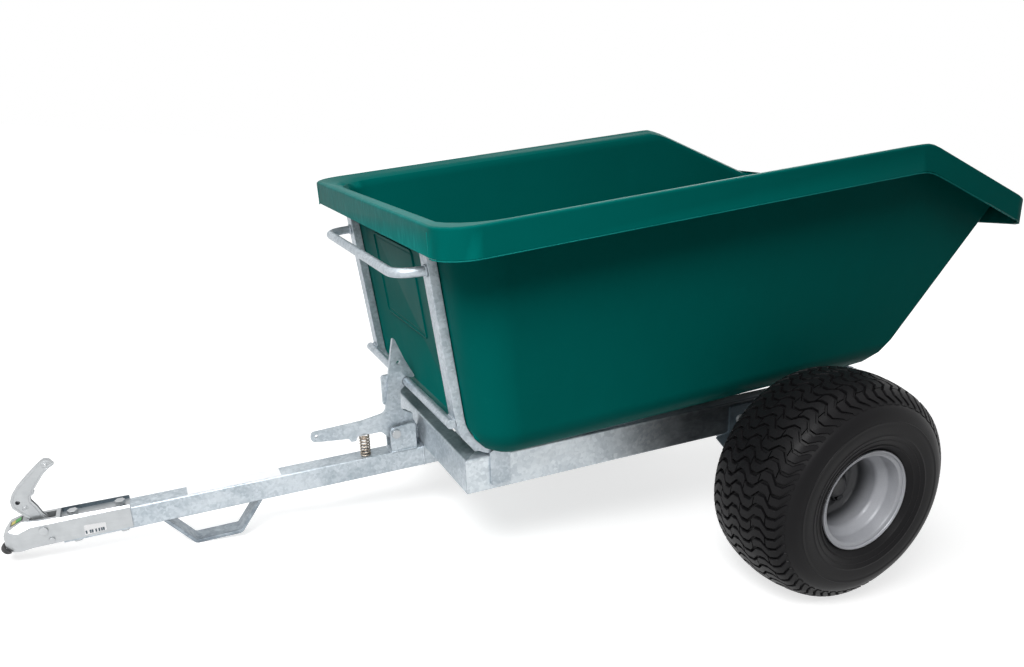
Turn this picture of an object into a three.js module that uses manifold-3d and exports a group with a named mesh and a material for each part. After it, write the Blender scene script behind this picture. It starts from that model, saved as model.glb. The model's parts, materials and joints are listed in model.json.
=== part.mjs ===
// Tipping trailer for a quad bike: a moulded tub on a galvanised chassis with turf tyres,
// a drawbar with a ball coupling, and a hook latch that holds the tub down.
//
// Millimetres, +Z up. The hitch points along -X and the tub pours out along +X.
// The chassis is drawn level, with the wheel axis on X = 0, Z = 0, and is then leaned
// nose down until it stands on its two tyres and the foot under the drawbar.

import * as THREE from "three";
import { mergeVertices } from "three/addons/utils/BufferGeometryUtils.js";
import Module from "manifold-3d";

const wasm = await Module();
wasm.setup();

// ---------------------------------------------------------------- driving dimensions

const seatGap = 0.3; // between touching pieces

// wheels, turf tyre 20 x 10.00 - 8
const tyreRadius = 254;
const tyreHalfWidth = 120;
const tyreWall = 9;
const treadHalfWidth = 88;
const wheelCentreY = 546;
const beadRadius = 101.5;
const flangeRadius = 113.5;
const rimHalfWidth = 106;
const rimSheet = 3;
const wellRadius = 84;
const wheelBoreRadius = 34;
const discFace = -6; // outboard face of the wheel disc, from the wheel's middle plane
const discSheet = 4;
const studCircleRadius = 50;
const studRadius = 6;
const studCount = 4;
const valveRadius = 4;
const valveCircleRadius = 91;

// hub and axle
const stubRadius = 12.5;
const stubShoulderRadius = 22;
const hubBarrelRadius = 30;
const hubBoreRadius = 21;
const hubFlangeRadius = 62;
const hubFlangeSheet = 8;
const hubInboard = -60;
const hubOutboard = 12;
const bearingWidth = 12;
const axleBeamSize = 50;
const stubWeld = -105; // inboard end of the stub axle, from the wheel's middle plane

// chassis frame
const railHeight = 80;
const railWidth = 40;
const railCentreY = 285;
const chassisFront = -760;
const chassisRear = 270;
const drawbarSize = 50;
const drawbarTop = 33;
const sectionCorner = 5;
const tubeWall = 3;
const mitre = seatGap / 2; // half the cut between two mitred ends

// tipping cradle and pivot
const pivotX = 300;
const pivotZ = 128;
const pivotPinRadius = 8;
const pivotEyeRadius = 15;
const plateSheet = 6;
const cradleBarWidth = 40;
const cradleBarDepth = 20;
const cradleRailAbovePivot = 20;
const cradleBendRadius = 95;
const cradleRear = 12;
const postTop = 528;
const roundBarRadius = 10;
const latchBarAbovePivot = 112;
const handleAbovePivot = 436;
const handleReach = 72;
const handleHalfWidth = 280;
const handleBend = 32;

// tub, in a frame with its origin on the tipping axis and X along the tub floor
const tubSheet = 6;
const tubFloor = 25;
const tubFloorFront = -1043;
const tubFloorRear = -9;
const tubFloorHalfWidth = 378;
const frontWallLean = 0.089; // forward travel of the front wall for each mm of height
const sideWallLean = 0.126;
const rearWallLean = 0.78;
const tubBottomRadius = 75;
const tubFrontCorner = 92;
const tubRearCorner = 20;
const rimFront = -1142;
const rimRear = 291;
const rimHalfSpan = 510;
const rimFrontCorner = 74;
const rimRearCorner = 52;
const rimFrontHeight = 545;
const rimPeakX = -48;
const rimPeakHeight = 577;
const rimRearHeight = 411;
const rimEdgeRadius = 6;
const rimPeakSoftness = 4;
const rimInwardFall = 6; // the rim's top slopes down to the wall by this much
const skirtDepth = 56;
const lipApron = 24; // extra skirt at the middle of the pouring lip
const throatRadius = 22;
const grooveClearance = 2;

// drawbar foot
const footFront = -1310;
const footRear = -1208;
const footLegFront = -1369;
const footLegRear = -1154;
const footBottom = -89;
const footBar = 8;
const footBend = 14;

// ball coupling
const ballRadius = 25.4;
const ballX = -1645;
const ballZ = 10;
const couplingHalfWidth = 29;
const couplingNoseRadius = 34;
const couplingSheet = 3.5;
const couplingRear = -1430;
const couplingTop = 44;
const bumperSheet = 8;
const couplingBottom = -10;
const drawbarFront = -1568;
const couplingBoltX = [-1543, -1449];
const couplingBoltRadius = 6;
const handlePivotX = -1600;
const handlePivotZ = 24;
const handlePinRadius = 6;
const handleWidth = 26;
const jawPivotX = -1588;
const jawPivotZ = 0;
const jawPinRadius = 4;

// tub latch
const latchPivotX = -826;
const latchPivotZ = 80;
const latchPinRadius = 7;
const latchPlate = 10;
const springX = -900;
const springRadius = 11;
const springWire = 4;
const springTurns = 5;
const guidePinRadius = 5;

// ---------------------------------------------------------------- places worked out from them

const railTop = drawbarTop + seatGap + railHeight;
const railBottom = drawbarTop + seatGap;

// The cradle rails rest on the front of the chassis rails, which tilts the tub's floor.
const cradleFrontContact = pivotX - chassisFront - 55;
const tubTilt = Math.asin(
  (cradleRailAbovePivot + pivotZ - railTop - seatGap) / cradleFrontContact,
);
// The lean that puts the foot and both tyres on one floor. The foot stands on its front
// bend, an arc about this centre.
const footBendTurn = Math.atan2(
  drawbarTop - drawbarSize - footBottom,
  footFront - footLegFront,
);
const footArcX = footFront + footBend * Math.tan(footBendTurn / 2);
const footArcZ = footBottom + footBend;
const standLean =
  Math.asin((tyreRadius - footBend) / Math.hypot(footArcX, footArcZ)) -
  Math.atan2(-footArcZ, -footArcX);

const frontWall = (z) => tubFloorFront - (z - tubFloor) * frontWallLean;
const sideWall = (z) => tubFloorHalfWidth + (z - tubFloor) * sideWallLean;
const rearWall = (z) => tubFloorRear + (z - tubFloor) * rearWallLean;

// Rim height along the tub: a gentle rise to the peak, then the fall to the pouring lip.
function rimHeight(x) {
  const rise = (rimPeakHeight - rimFrontHeight) / (rimPeakX - rimFront);
  const fall = (rimRearHeight - rimPeakHeight) / (rimRear - rimPeakX);
  const front = rimPeakHeight + (x - rimPeakX) * rise;
  const rear = rimPeakHeight + (x - rimPeakX) * fall;
  const apart = Math.abs(front - rear) / rimPeakSoftness;
  return Math.min(front, rear) - rimPeakSoftness * (Math.log1p(Math.exp(-apart)) - Math.LN2);
}

// ---------------------------------------------------------------- finishes

const galvanised = { color: 0xaab2ba, metalness: 0.75, roughness: 0.45 };
const greenPlastic = { color: 0x03584f, metalness: 0, roughness: 0.45 };
const tyreRubber = { color: 0x1b1b1c, metalness: 0, roughness: 0.75 };
const silverPaint = { color: 0xb9bcc0, metalness: 0.6, roughness: 0.35 };
const zincPlate = { color: 0xd3d7d9, metalness: 0.85, roughness: 0.3 };
const blackPlastic = { color: 0x15161a, metalness: 0, roughness: 0.5 };
const springSteel = { color: 0x9b8d78, metalness: 0.85, roughness: 0.35 };
const indicatorGreen = { color: 0x2f9a3a, metalness: 0, roughness: 0.5 };

// ---------------------------------------------------------------- solids

// A closed geometry as a solid that can be joined and cut, faces outwards.
function solid(geometry) {
  const loose = geometry.index ? geometry.toNonIndexed() : geometry;
  const bare = new THREE.BufferGeometry();
  bare.setAttribute("position", loose.getAttribute("position"));
  const merged = mergeVertices(bare, 1e-3);
  const make = (triVerts) =>
    new wasm.Manifold(
      new wasm.Mesh({
        numProp: 3,
        vertProperties: merged.attributes.position.array,
        triVerts,
      }),
    );
  const made = make(new Uint32Array(merged.index.array));
  if (made.volume() > 0) return made;
  return make(new Uint32Array(merged.index.array).reverse());
}

function geometryOf(body) {
  const mesh = body.getMesh();
  const geometry = new THREE.BufferGeometry();
  const points = new Float32Array(mesh.numVert * 3);
  for (let i = 0; i < mesh.numVert; i++) {
    points.set(mesh.vertProperties.subarray(i * mesh.numProp, i * mesh.numProp + 3), i * 3);
  }
  geometry.setAttribute("position", new THREE.BufferAttribute(points, 3));
  geometry.setIndex(new THREE.BufferAttribute(mesh.triVerts, 1));
  geometry.computeVertexNormals();
  return geometry;
}

function box(x0, x1, y0, y1, z0, z1) {
  const g = new THREE.BoxGeometry(x1 - x0, y1 - y0, z1 - z0);
  g.translate((x0 + x1) / 2, (y0 + y1) / 2, (z0 + z1) / 2);
  return solid(g);
}

// A round bar along Y, standing on the XZ point given.
function rodY(radius, x, z, y0, y1, sides = 16) {
  const g = new THREE.CylinderGeometry(radius, radius, y1 - y0, sides);
  g.translate(x, (y0 + y1) / 2, z);
  return solid(g);
}

function rodZ(radius, x, y, z0, z1, sides = 16) {
  const g = new THREE.CylinderGeometry(radius, radius, z1 - z0, sides);
  g.rotateX(Math.PI / 2);
  g.translate(x, y, (z0 + z1) / 2);
  return solid(g);
}

// A shape drawn in X and Z, given thickness across Y.
function acrossY(shape, y0, y1, curveSegments = 2) {
  const g = new THREE.ExtrudeGeometry(shape, {
    depth: y1 - y0,
    bevelEnabled: false,
    curveSegments,
  });
  g.rotateX(Math.PI / 2);
  g.translate(0, y1, 0);
  return solid(g);
}

// A shape drawn in X and Y, raised along Z.
function upZ(shape, z0, z1, curveSegments = 4) {
  const g = new THREE.ExtrudeGeometry(shape, {
    depth: z1 - z0,
    bevelEnabled: false,
    curveSegments,
  });
  g.translate(0, 0, z0);
  return solid(g);
}

// A shape drawn in Y and Z, run along X.
function alongX(shape, x0, x1, curveSegments = 2) {
  const g = new THREE.ExtrudeGeometry(shape, {
    depth: x1 - x0,
    bevelEnabled: false,
    curveSegments,
  });
  g.applyMatrix4(
    new THREE.Matrix4().makeBasis(
      new THREE.Vector3(0, 1, 0),
      new THREE.Vector3(0, 0, 1),
      new THREE.Vector3(1, 0, 0),
    ),
  );
  g.translate(x0, 0, 0);
  return solid(g);
}

// A ring or disc turned about Y from its cross-section, listed as [radius, y] pairs.
function turnedY(section, segments) {
  const points = section.map(([r, y]) => new THREE.Vector2(r, y));
  if (section[0][0] > 0) points.push(points[0].clone());
  return solid(new THREE.LatheGeometry(points, segments));
}

// A polygon whose corners are rounded; each corner is [a, b, radius].
function roundedPolygon(corners) {
  const shape = new THREE.Shape();
  const n = corners.length;
  corners.forEach(([a, b, radius = 0], i) => {
    const here = new THREE.Vector2(a, b);
    const before = new THREE.Vector2(...corners[(i + n - 1) % n]).sub(here);
    const after = new THREE.Vector2(...corners[(i + 1) % n]).sub(here);
    const half = Math.acos(before.dot(after) / before.length() / after.length()) / 2;
    const run = radius / Math.tan(half);
    const start = here.clone().addScaledVector(before.normalize(), run);
    const end = here.clone().addScaledVector(after.normalize(), run);
    if (i === 0) shape.moveTo(start.x, start.y);
    else shape.lineTo(start.x, start.y);
    if (radius === 0) return;
    const centre = before.clone().add(after).normalize();
    centre.multiplyScalar(radius / Math.sin(half)).add(here);
    const from = Math.atan2(start.y - centre.y, start.x - centre.x);
    const to = Math.atan2(end.y - centre.y, end.x - centre.x);
    const turn = before.x * after.y - before.y * after.x;
    shape.absarc(centre.x, centre.y, radius, from, to, turn > 0);
  });
  shape.closePath();
  return shape;
}

function roundedBar(width, height, middleA, middleB, radius) {
  const a = width / 2;
  const b = height / 2;
  return roundedPolygon([
    [middleA - a, middleB - b, radius],
    [middleA + a, middleB - b, radius],
    [middleA + a, middleB + b, radius],
    [middleA - a, middleB + b, radius],
  ]);
}

function hexagon(acrossFlats, middleA, middleB) {
  const shape = new THREE.Shape();
  for (let i = 0; i < 6; i++) {
    const angle = (i * Math.PI) / 3;
    const r = acrossFlats / Math.sqrt(3);
    const a = middleA + r * Math.cos(angle);
    const b = middleB + r * Math.sin(angle);
    if (i === 0) shape.moveTo(a, b);
    else shape.lineTo(a, b);
  }
  shape.closePath();
  return shape;
}

// A round bar bent to a path of straight runs with arcs between them.
function bentRod(points, bendRadius, radius, sides, steps) {
  const path = new THREE.CurvePath();
  let from = points[0];
  for (let i = 1; i < points.length - 1; i++) {
    const back = points[i - 1].clone().sub(points[i]).normalize();
    const on = points[i + 1].clone().sub(points[i]).normalize();
    const run = bendRadius / Math.tan(back.angleTo(on) / 2);
    const start = points[i].clone().addScaledVector(back, run);
    const end = points[i].clone().addScaledVector(on, run);
    path.add(new THREE.LineCurve3(from, start));
    path.add(new THREE.QuadraticBezierCurve3(start, points[i], end));
    from = end;
  }
  path.add(new THREE.LineCurve3(from, points[points.length - 1]));
  const section = new THREE.Shape().absarc(0, 0, radius, 0, Math.PI * 2);
  return solid(
    new THREE.ExtrudeGeometry(section, {
      extrudePath: path,
      steps,
      curveSegments: sides,
    }),
  );
}

// ---------------------------------------------------------------- tub

// Where the rim's peak comes along the straight part of its side, from 0 to 1.
const peakStation = (rimPeakX - rimFront - rimFrontCorner) /
  (rimRear - rimFront - rimFrontCorner - rimRearCorner);

// Stations round the plan of the tub, from the middle of the front to the middle of the rear.
function tubStations() {
  const half = [];
  half.push({ run: "front", s: 0, rear: 0 });
  half.push({ run: "front", s: 0.6, rear: 0 });
  const cornerSteps = 6;
  for (let i = 0; i <= cornerSteps; i++) {
    half.push({ run: "frontCorner", s: i / cornerSteps, rear: 0 });
  }
  const near = [-0.07, -0.02, -0.006, 0.006, 0.02, 0.07];
  const spaced = [0.25, 0.5, ...near.map((d) => peakStation + d)];
  spaced.forEach((s) => half.push({ run: "side", s, rear: 0 }));
  const rearSteps = 4;
  for (let i = 0; i <= rearSteps; i++) {
    half.push({ run: "rearCorner", s: i / rearSteps, rear: i / rearSteps });
  }
  half.push({ run: "rear", s: 0.5, rear: 1 });
  const mirrored = half.slice(1).reverse().map((st) => ({ ...st, mirror: true }));
  return [...half, { run: "rear", s: 0, rear: 1 }, ...mirrored];
}

// A place along a side that runs from one X to the other, by way of the peak where it has one.
function alongSide(s, from, to, peak = from + peakStation * (to - from)) {
  if (s < peakStation) return from + (s / peakStation) * (peak - from);
  return peak + ((s - peakStation) / (1 - peakStation)) * (to - peak);
}

function planPoint(station, plan) {
  const { front, rear, side, frontCorner, rearCorner, peak } = plan;
  const angle = (station.s * Math.PI) / 2;
  const runs = {
    front: () => [front, station.s * (side - frontCorner)],
    frontCorner: () => [
      front + frontCorner * (1 - Math.cos(angle)),
      side - frontCorner * (1 - Math.sin(angle)),
    ],
    side: () => [alongSide(station.s, front + frontCorner, rear - rearCorner, peak), side],
    rearCorner: () => [
      rear - rearCorner * (1 - Math.sin(angle)),
      side - rearCorner * (1 - Math.cos(angle)),
    ],
    rear: () => [rear, station.s * (side - rearCorner)],
  };
  const [x, y] = runs[station.run]();
  return [x, station.mirror ? -y : y];
}

function wallPlan(z, inset) {
  return {
    front: frontWall(z) + inset,
    rear: rearWall(z) - inset,
    side: sideWall(z) - inset,
    frontCorner: Math.max(tubFrontCorner - inset, 8),
    rearCorner: Math.max(tubRearCorner - inset, 6),
  };
}

function rimPlan(inset) {
  return {
    front: rimFront + inset,
    rear: rimRear - inset,
    side: rimHalfSpan - inset,
    frontCorner: rimFrontCorner - inset,
    rearCorner: rimRearCorner - inset,
  };
}

// A ring of the rim: its plan is inset from the rim's edge and it lies below the rim line.
function rimRing(inset, belowOf) {
  return (station) => {
    const [x, y] = planPoint(station, rimPlan(inset));
    return [x, y, rimHeight(x) - belowOf(station)];
  };
}

// How far the skirt hangs below the rim line.
function skirtEdge(station) {
  const apron = station.run === "rear" ? lipApron * (1 - station.s ** 2) : 0;
  return skirtDepth + apron;
}

// A ring of the wall just under the rim, found by following the wall up to the rim line.
function wallRing(insetOf, belowOf) {
  return (station) => {
    const inset = insetOf(station);
    let z = rimFrontHeight;
    let x = 0;
    let y = 0;
    for (let i = 0; i < 12; i++) {
      [x, y] = planPoint(station, { ...wallPlan(z, inset), peak: rimPeakX });
      z = rimHeight(x) - belowOf(station);
    }
    return [x, y, z];
  };
}

// Rings of the rounded bottom edge, from the flat floor up to the wall.
function bottomRings(sheet) {
  const radius = tubBottomRadius - sheet;
  const rings = [];
  const steps = 4;
  for (let i = 0; i <= steps; i++) {
    const angle = (i / steps) * (Math.PI / 2);
    const z = tubFloor + sheet + radius * (1 - Math.cos(angle));
    const inset = sheet + radius * (1 - Math.sin(angle));
    rings.push((station) => [...planPoint(station, wallPlan(z, inset)), z]);
  }
  return rings;
}

// Joins rings into one closed surface, with a fan over the first and the last.
function loft(rings) {
  const stations = tubStations();
  const n = stations.length;
  const points = rings.map((ring) => stations.map(ring));
  const vertices = points.flat();
  const cap = (ring) => {
    const middle = ring.reduce((sum, p) => [sum[0] + p[0], 0, sum[2] + p[2]], [0, 0, 0]);
    return [middle[0] / n, 0, middle[2] / n];
  };
  const bottom = vertices.push(cap(points[0])) - 1;
  const top = vertices.push(cap(points[points.length - 1])) - 1;
  const index = [];
  for (let i = 0; i < n; i++) {
    const j = (i + 1) % n;
    index.push(bottom, i, j);
    for (let k = 0; k < rings.length - 1; k++) {
      const a = k * n + i;
      const b = k * n + j;
      index.push(a, a + n, b, b, a + n, b + n);
    }
    const last = (rings.length - 1) * n;
    index.push(top, last + j, last + i);
  }
  const geometry = new THREE.BufferGeometry();
  geometry.setAttribute("position", new THREE.Float32BufferAttribute(vertices.flat(), 3));
  geometry.setIndex(index);
  return solid(geometry);
}

function tubShell() {
  const throat = (station) => throatRadius * (1 - 0.9 * station.rear);
  const inner = (station) => throat(station) + tubSheet;
  const quarter = Math.SQRT1_2;
  const under = tubSheet + rimInwardFall;
  return loft([
    ...bottomRings(0),
    wallRing(() => 0, (st) => under + throat(st)),
    wallRing((st) => -throat(st) * (1 - quarter), (st) => under + throat(st) * (1 - quarter)),
    wallRing((st) => -throat(st), () => under),
    rimRing(tubSheet, () => tubSheet),
    rimRing(tubSheet, skirtEdge),
    rimRing(0, skirtEdge),
    rimRing(0, () => rimEdgeRadius),
    rimRing(rimEdgeRadius * (1 - quarter), () => rimEdgeRadius * (1 - quarter)),
    rimRing(rimEdgeRadius, () => 0),
    wallRing((st) => tubSheet - inner(st), () => rimInwardFall),
    wallRing(
      (st) => tubSheet - inner(st) * (1 - quarter),
      (st) => rimInwardFall + inner(st) * (1 - quarter),
    ),
    wallRing(() => tubSheet, (st) => rimInwardFall + inner(st)),
    ...bottomRings(tubSheet).reverse(),
  ]);
}

// The space inside the tub's outer wall, filled.
function tubFilled() {
  return loft([...bottomRings(0), wallRing(() => 0, () => tubSheet + rimInwardFall + throatRadius)]);
}

// The side outline of a cradle bar, in X and Z: up the front wall, round the bend, along the floor.
function cradleOutline(depth, room = 0) {
  const middle = cradleRailAbovePivot + cradleBarDepth / 2;
  const stand = grooveClearance + cradleBarDepth / 2;
  const postX = (z) => frontWall(z) - stand;
  const half = depth / 2;
  return roundedPolygon([
    [postX(postTop) - half, postTop + room],
    [postX(middle - half) - half, middle - half, cradleBendRadius + half],
    [cradleRear, middle - half],
    [cradleRear, middle + half],
    [postX(middle + half) + half, middle + half, cradleBendRadius - half],
    [postX(postTop) + half, postTop + room],
  ]);
}

function tub() {
  const grooveHalf = cradleBarWidth / 2 + grooveClearance;
  const seatDepth = cradleBarDepth + 2 * seatGap; // the floor rests on the bars
  let shell = tubShell();
  const filled = tubFilled();
  for (const side of [-1, 1]) {
    const middle = side * railCentreY;
    const outer = side * (plateSheet + grooveClearance);
    const y0 = middle - grooveHalf + Math.min(outer, 0);
    const y1 = middle + grooveHalf + Math.max(outer, 0);
    const rib = acrossY(
      cradleOutline(seatDepth + 2 * tubSheet), y0 - tubSheet, y1 + tubSheet, 4);
    const below = box(-1400, 600, y0 - tubSheet, y1 + tubSheet, -200, tubFloor + 150);
    shell = shell.add(rib.intersect(filled).intersect(below));
    shell = shell.subtract(acrossY(cradleOutline(seatDepth, grooveClearance), y0, y1, 5));
  }
  return shell;
}

// ---------------------------------------------------------------- cradle

function cradleSide(side) {
  const y0 = side * railCentreY - cradleBarWidth / 2;
  const y1 = side * railCentreY + cradleBarWidth / 2;
  return acrossY(cradleOutline(cradleBarDepth), y0, y1, 5);
}

const postFace = (z) => frontWall(z) - grooveClearance - cradleBarDepth;

function latchBarPlace() {
  return [postFace(latchBarAbovePivot) - roundBarRadius - seatGap, latchBarAbovePivot];
}

function crossBar() {
  const [x, z] = latchBarPlace();
  const half = railCentreY + cradleBarWidth / 2;
  return rodY(roundBarRadius, x, z, -half, half, 20);
}

function pushHandle() {
  const rootY = railCentreY + 8;
  const root = postFace(handleAbovePivot) + cradleBarDepth / 2;
  const tip = postFace(handleAbovePivot) - handleReach + roundBarRadius;
  const corner = (side) => new THREE.Vector3(tip, side * handleHalfWidth, handleAbovePivot);
  const end = (side) => new THREE.Vector3(root, side * rootY, handleAbovePivot);
  const span = railCentreY + cradleBarWidth;
  const bar = bentRod([end(-1), corner(-1), corner(1), end(1)], handleBend, roundBarRadius, 5, 30);
  return bar.subtract(acrossY(cradleOutline(cradleBarDepth + 2 * seatGap), -span, span));
}

// The lug under the rear end of a cradle rail, with the eye for the tipping pin.
function tippingLug(side) {
  const top = cradleRailAbovePivot - seatGap;
  const eye = roundedPolygon([
    [-pivotEyeRadius, -pivotEyeRadius, pivotEyeRadius - 0.1],
    [pivotEyeRadius, -pivotEyeRadius, pivotEyeRadius - 0.1],
    [pivotEyeRadius - 3, top],
    [-pivotEyeRadius - 30, top],
  ]);
  const y = side * railCentreY;
  const lug = acrossY(eye, y - plateSheet, y + plateSheet);
  return lug.subtract(rodY(pivotPinRadius + seatGap, 0, 0, y - 20, y + 20));
}

// ---------------------------------------------------------------- chassis

// A hollow section: the bar less the same bar one wall smaller, open at both ends.
function tubeAlongX(width, height, y, z, corner, x0, x1) {
  const inside = roundedBar(width - 2 * tubeWall, height - 2 * tubeWall, y, z, corner - tubeWall + 1);
  return alongX(roundedBar(width, height, y, z, corner), x0, x1)
    .subtract(alongX(inside, x0 - 1, x1 + 1, 1));
}

function tubeAcrossY(width, height, x, z, corner, half) {
  const inside = roundedBar(width - 2 * tubeWall, height - 2 * tubeWall, x, z, corner - tubeWall + 1);
  return acrossY(roundedBar(width, height, x, z, corner), -half, half)
    .subtract(acrossY(inside, -half - 1, half + 1, 1));
}

function chassisRail(side) {
  const y = side * railCentreY;
  const middle = railBottom + railHeight / 2;
  const bar = tubeAlongX(railWidth, railHeight, y, middle, sectionCorner,
    chassisFront, chassisRear);
  const out = side * (railCentreY + railWidth / 2 + 1);
  const inn = side * (railCentreY - railWidth / 2);
  const outline = new THREE.Shape();
  outline.moveTo(chassisFront - 1 + mitre * Math.SQRT2, out);
  outline.lineTo(chassisFront + railWidth + mitre * Math.SQRT2, inn);
  outline.lineTo(chassisFront + railWidth + mitre * Math.SQRT2, inn - side * 2);
  outline.lineTo(chassisRear + 1, inn - side * 2);
  outline.lineTo(chassisRear + 1, out);
  return bar.intersect(upZ(outline, railBottom - 1, railTop + 1));
}

function frontMember() {
  const half = railCentreY + railWidth / 2;
  const bar = tubeAcrossY(railWidth, railHeight, chassisFront + railWidth / 2,
    railBottom + railHeight / 2, sectionCorner, half);
  const inner = half - railWidth - mitre * Math.SQRT2;
  const outer = half + 1 - mitre * Math.SQRT2;
  const outline = new THREE.Shape();
  outline.moveTo(chassisFront - 1, -outer);
  outline.lineTo(chassisFront + railWidth, -inner);
  outline.lineTo(chassisFront + railWidth + 1, -inner);
  outline.lineTo(chassisFront + railWidth + 1, inner);
  outline.lineTo(chassisFront + railWidth, inner);
  outline.lineTo(chassisFront - 1, outer);
  return bar.intersect(upZ(outline, railBottom - 1, railTop + 1));
}

function rearMember() {
  const half = railCentreY - railWidth / 2 - plateSheet - 2 * seatGap;
  return tubeAcrossY(railWidth, railHeight, chassisRear - railWidth / 2,
    railBottom + railHeight / 2, sectionCorner, half);
}

// A plate on the rail's outer face that stands up beside the cradle rail and guides it down.
function guideLug(side) {
  const length = 46;
  const x = chassisFront + 55;
  const face = railCentreY + railWidth / 2 + seatGap;
  const shape = roundedPolygon([
    [x, railBottom + 14, 3],
    [x + length, railBottom + 14, 3],
    [x + length, railTop + 10, 8],
    [x + length - 12, railTop + 15, 8],
    [x, railTop + 15, 10],
  ]);
  const y = [side * face, side * (face + plateSheet)].sort((a, b) => a - b);
  return acrossY(shape, ...y, 4);
}

// The two plates at the rear end of a chassis rail that carry the tipping pin.
function pivotEar(side) {
  const shape = roundedPolygon([
    [chassisRear - 70, railBottom + 12, 4],
    [pivotX + 4, railBottom + 12, 12],
    [pivotX + pivotEyeRadius, pivotZ + pivotEyeRadius, pivotEyeRadius - 0.1],
    [pivotX - pivotEyeRadius, pivotZ + pivotEyeRadius, pivotEyeRadius - 0.1],
    [pivotX - pivotEyeRadius - 14, railTop, 6],
    [chassisRear - 70, railTop, 4],
  ]);
  const face = railWidth / 2 + seatGap;
  const y = side * railCentreY;
  let ear = acrossY(shape, y - face - plateSheet, y + face + plateSheet);
  const railSpace = box(-1000, 1000, y - face, y + face, -200, 400);
  const bridge = box(chassisRear + seatGap, chassisRear + seatGap + plateSheet,
    y - face, y + face, railBottom + 12, railTop - 30);
  ear = ear.subtract(railSpace).add(bridge);
  return ear.subtract(rodY(pivotPinRadius + seatGap, pivotX, pivotZ, y - 60, y + 60));
}

// Bolt through the ears and the lug, with a head outboard and a lock nut inboard.
function pivotPin(side) {
  const y = side * railCentreY;
  const reach = railWidth / 2 + plateSheet + 2 * seatGap;
  const out = (a, b) => [y + side * a, y + side * b].sort((p, q) => p - q);
  const shank = rodY(pivotPinRadius, pivotX, pivotZ, ...out(-reach - 12, reach + 1));
  const head = acrossY(hexagon(24, pivotX, pivotZ), ...out(reach, reach + 10));
  const nut = acrossY(hexagon(24, pivotX, pivotZ), ...out(-reach - 9, -reach));
  const collarIn = rodY(pivotEyeRadius - 2, pivotX, pivotZ,
    ...out(-railWidth / 2 + seatGap, -plateSheet - seatGap));
  const collarOut = rodY(pivotEyeRadius - 2, pivotX, pivotZ,
    ...out(plateSheet + seatGap, railWidth / 2 - seatGap));
  return shank.add(head).add(nut).add(collarIn).add(collarOut);
}

function drawbar() {
  let bar = tubeAlongX(drawbarSize, drawbarSize, 0, drawbarTop - drawbarSize / 2, 4,
    drawbarFront, -axleBeamSize / 2 - seatGap);
  for (const x of couplingBoltX) {
    bar = bar.subtract(rodZ(couplingBoltRadius + seatGap, x, 0, -60, 60));
  }
  return bar;
}

// A flat bar bent into a shallow trough: the trailer's nose stands on it.
function drawbarFoot() {
  const top = drawbarTop - drawbarSize - seatGap;
  const outer = [
    [footLegFront, top],
    [footFront, footBottom, footBend],
    [footRear, footBottom, footBend],
    [footLegRear, top],
  ];
  const rearTurn = Math.atan2(top - footBottom, footLegRear - footRear);
  const inner = footBend - footBar;
  const shape = roundedPolygon([
    ...outer,
    [footLegRear - footBar / Math.sin(rearTurn), top],
    [footRear - footBar * Math.tan(rearTurn / 2), footBottom + footBar, inner],
    [footFront + footBar * Math.tan(footBendTurn / 2), footBottom + footBar, inner],
    [footLegFront + footBar / Math.sin(footBendTurn), top],
  ]);
  const half = drawbarSize / 2 - 2;
  return acrossY(shape, -half, half, 4);
}

// ---------------------------------------------------------------- axle

function axleBeam() {
  const end = wheelCentreY + stubWeld - seatGap;
  return tubeAcrossY(axleBeamSize, axleBeamSize, 0, 0, 4, end);
}

// A plate on the rail's outer face that drops to carry the axle beam through a square hole.
function axleBracket(side) {
  const half = axleBeamSize / 2;
  const shape = roundedPolygon([
    [-76, railTop - 8, 6],
    [-76, railBottom + 6, 4],
    [-112, railBottom - 2, 3],
    [-72, -half + 8, 6],
    [-half - 8, -half - 8, 8],
    [half + 8, -half - 8, 8],
    [72, -half + 8, 6],
    [112, railBottom - 2, 3],
    [76, railBottom + 6, 4],
    [76, railTop - 8, 6],
  ]);
  const face = railCentreY + railWidth / 2 + seatGap;
  const y = [side * face, side * (face + plateSheet)].sort((a, b) => a - b);
  const hole = half + seatGap;
  return acrossY(shape, ...y, 4).subtract(
    box(-hole, hole, y[0] - 1, y[1] + 1, -hole, hole));
}

function stubAxle() {
  return turnedY([
    [0, stubWeld],
    [stubShoulderRadius, stubWeld],
    [stubShoulderRadius, hubInboard - seatGap],
    [stubRadius, hubInboard - seatGap],
    [stubRadius, hubOutboard + 9],
    [stubRadius - 2, hubOutboard + 11],
    [0, hubOutboard + 11],
  ], 24);
}

function hub() {
  const flangeFace = discFace - discSheet - seatGap;
  let body = turnedY([
    [hubBoreRadius, hubInboard],
    [hubBarrelRadius - 3, hubInboard],
    [hubBarrelRadius, hubInboard + 3],
    [hubBarrelRadius, flangeFace - hubFlangeSheet - 6],
    [hubBarrelRadius + 6, flangeFace - hubFlangeSheet],
    [hubFlangeRadius, flangeFace - hubFlangeSheet],
    [hubFlangeRadius, flangeFace],
    [hubBarrelRadius, flangeFace],
    [hubBarrelRadius, hubOutboard],
    [hubBoreRadius, hubOutboard],
  ], 24);
  for (let i = 0; i < studCount; i++) {
    const angle = ((i + 0.5) * 2 * Math.PI) / studCount;
    const x = studCircleRadius * Math.cos(angle);
    const z = studCircleRadius * Math.sin(angle);
    body = body.add(rodY(studRadius, x, z, flangeFace - hubFlangeSheet - 2, 16, 8));
  }
  return body;
}

function bearing(from) {
  return turnedY([
    [stubRadius + seatGap, from],
    [hubBoreRadius - seatGap, from],
    [hubBoreRadius - seatGap, from + bearingWidth],
    [stubRadius + seatGap, from + bearingWidth],
  ], 20);
}

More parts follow.
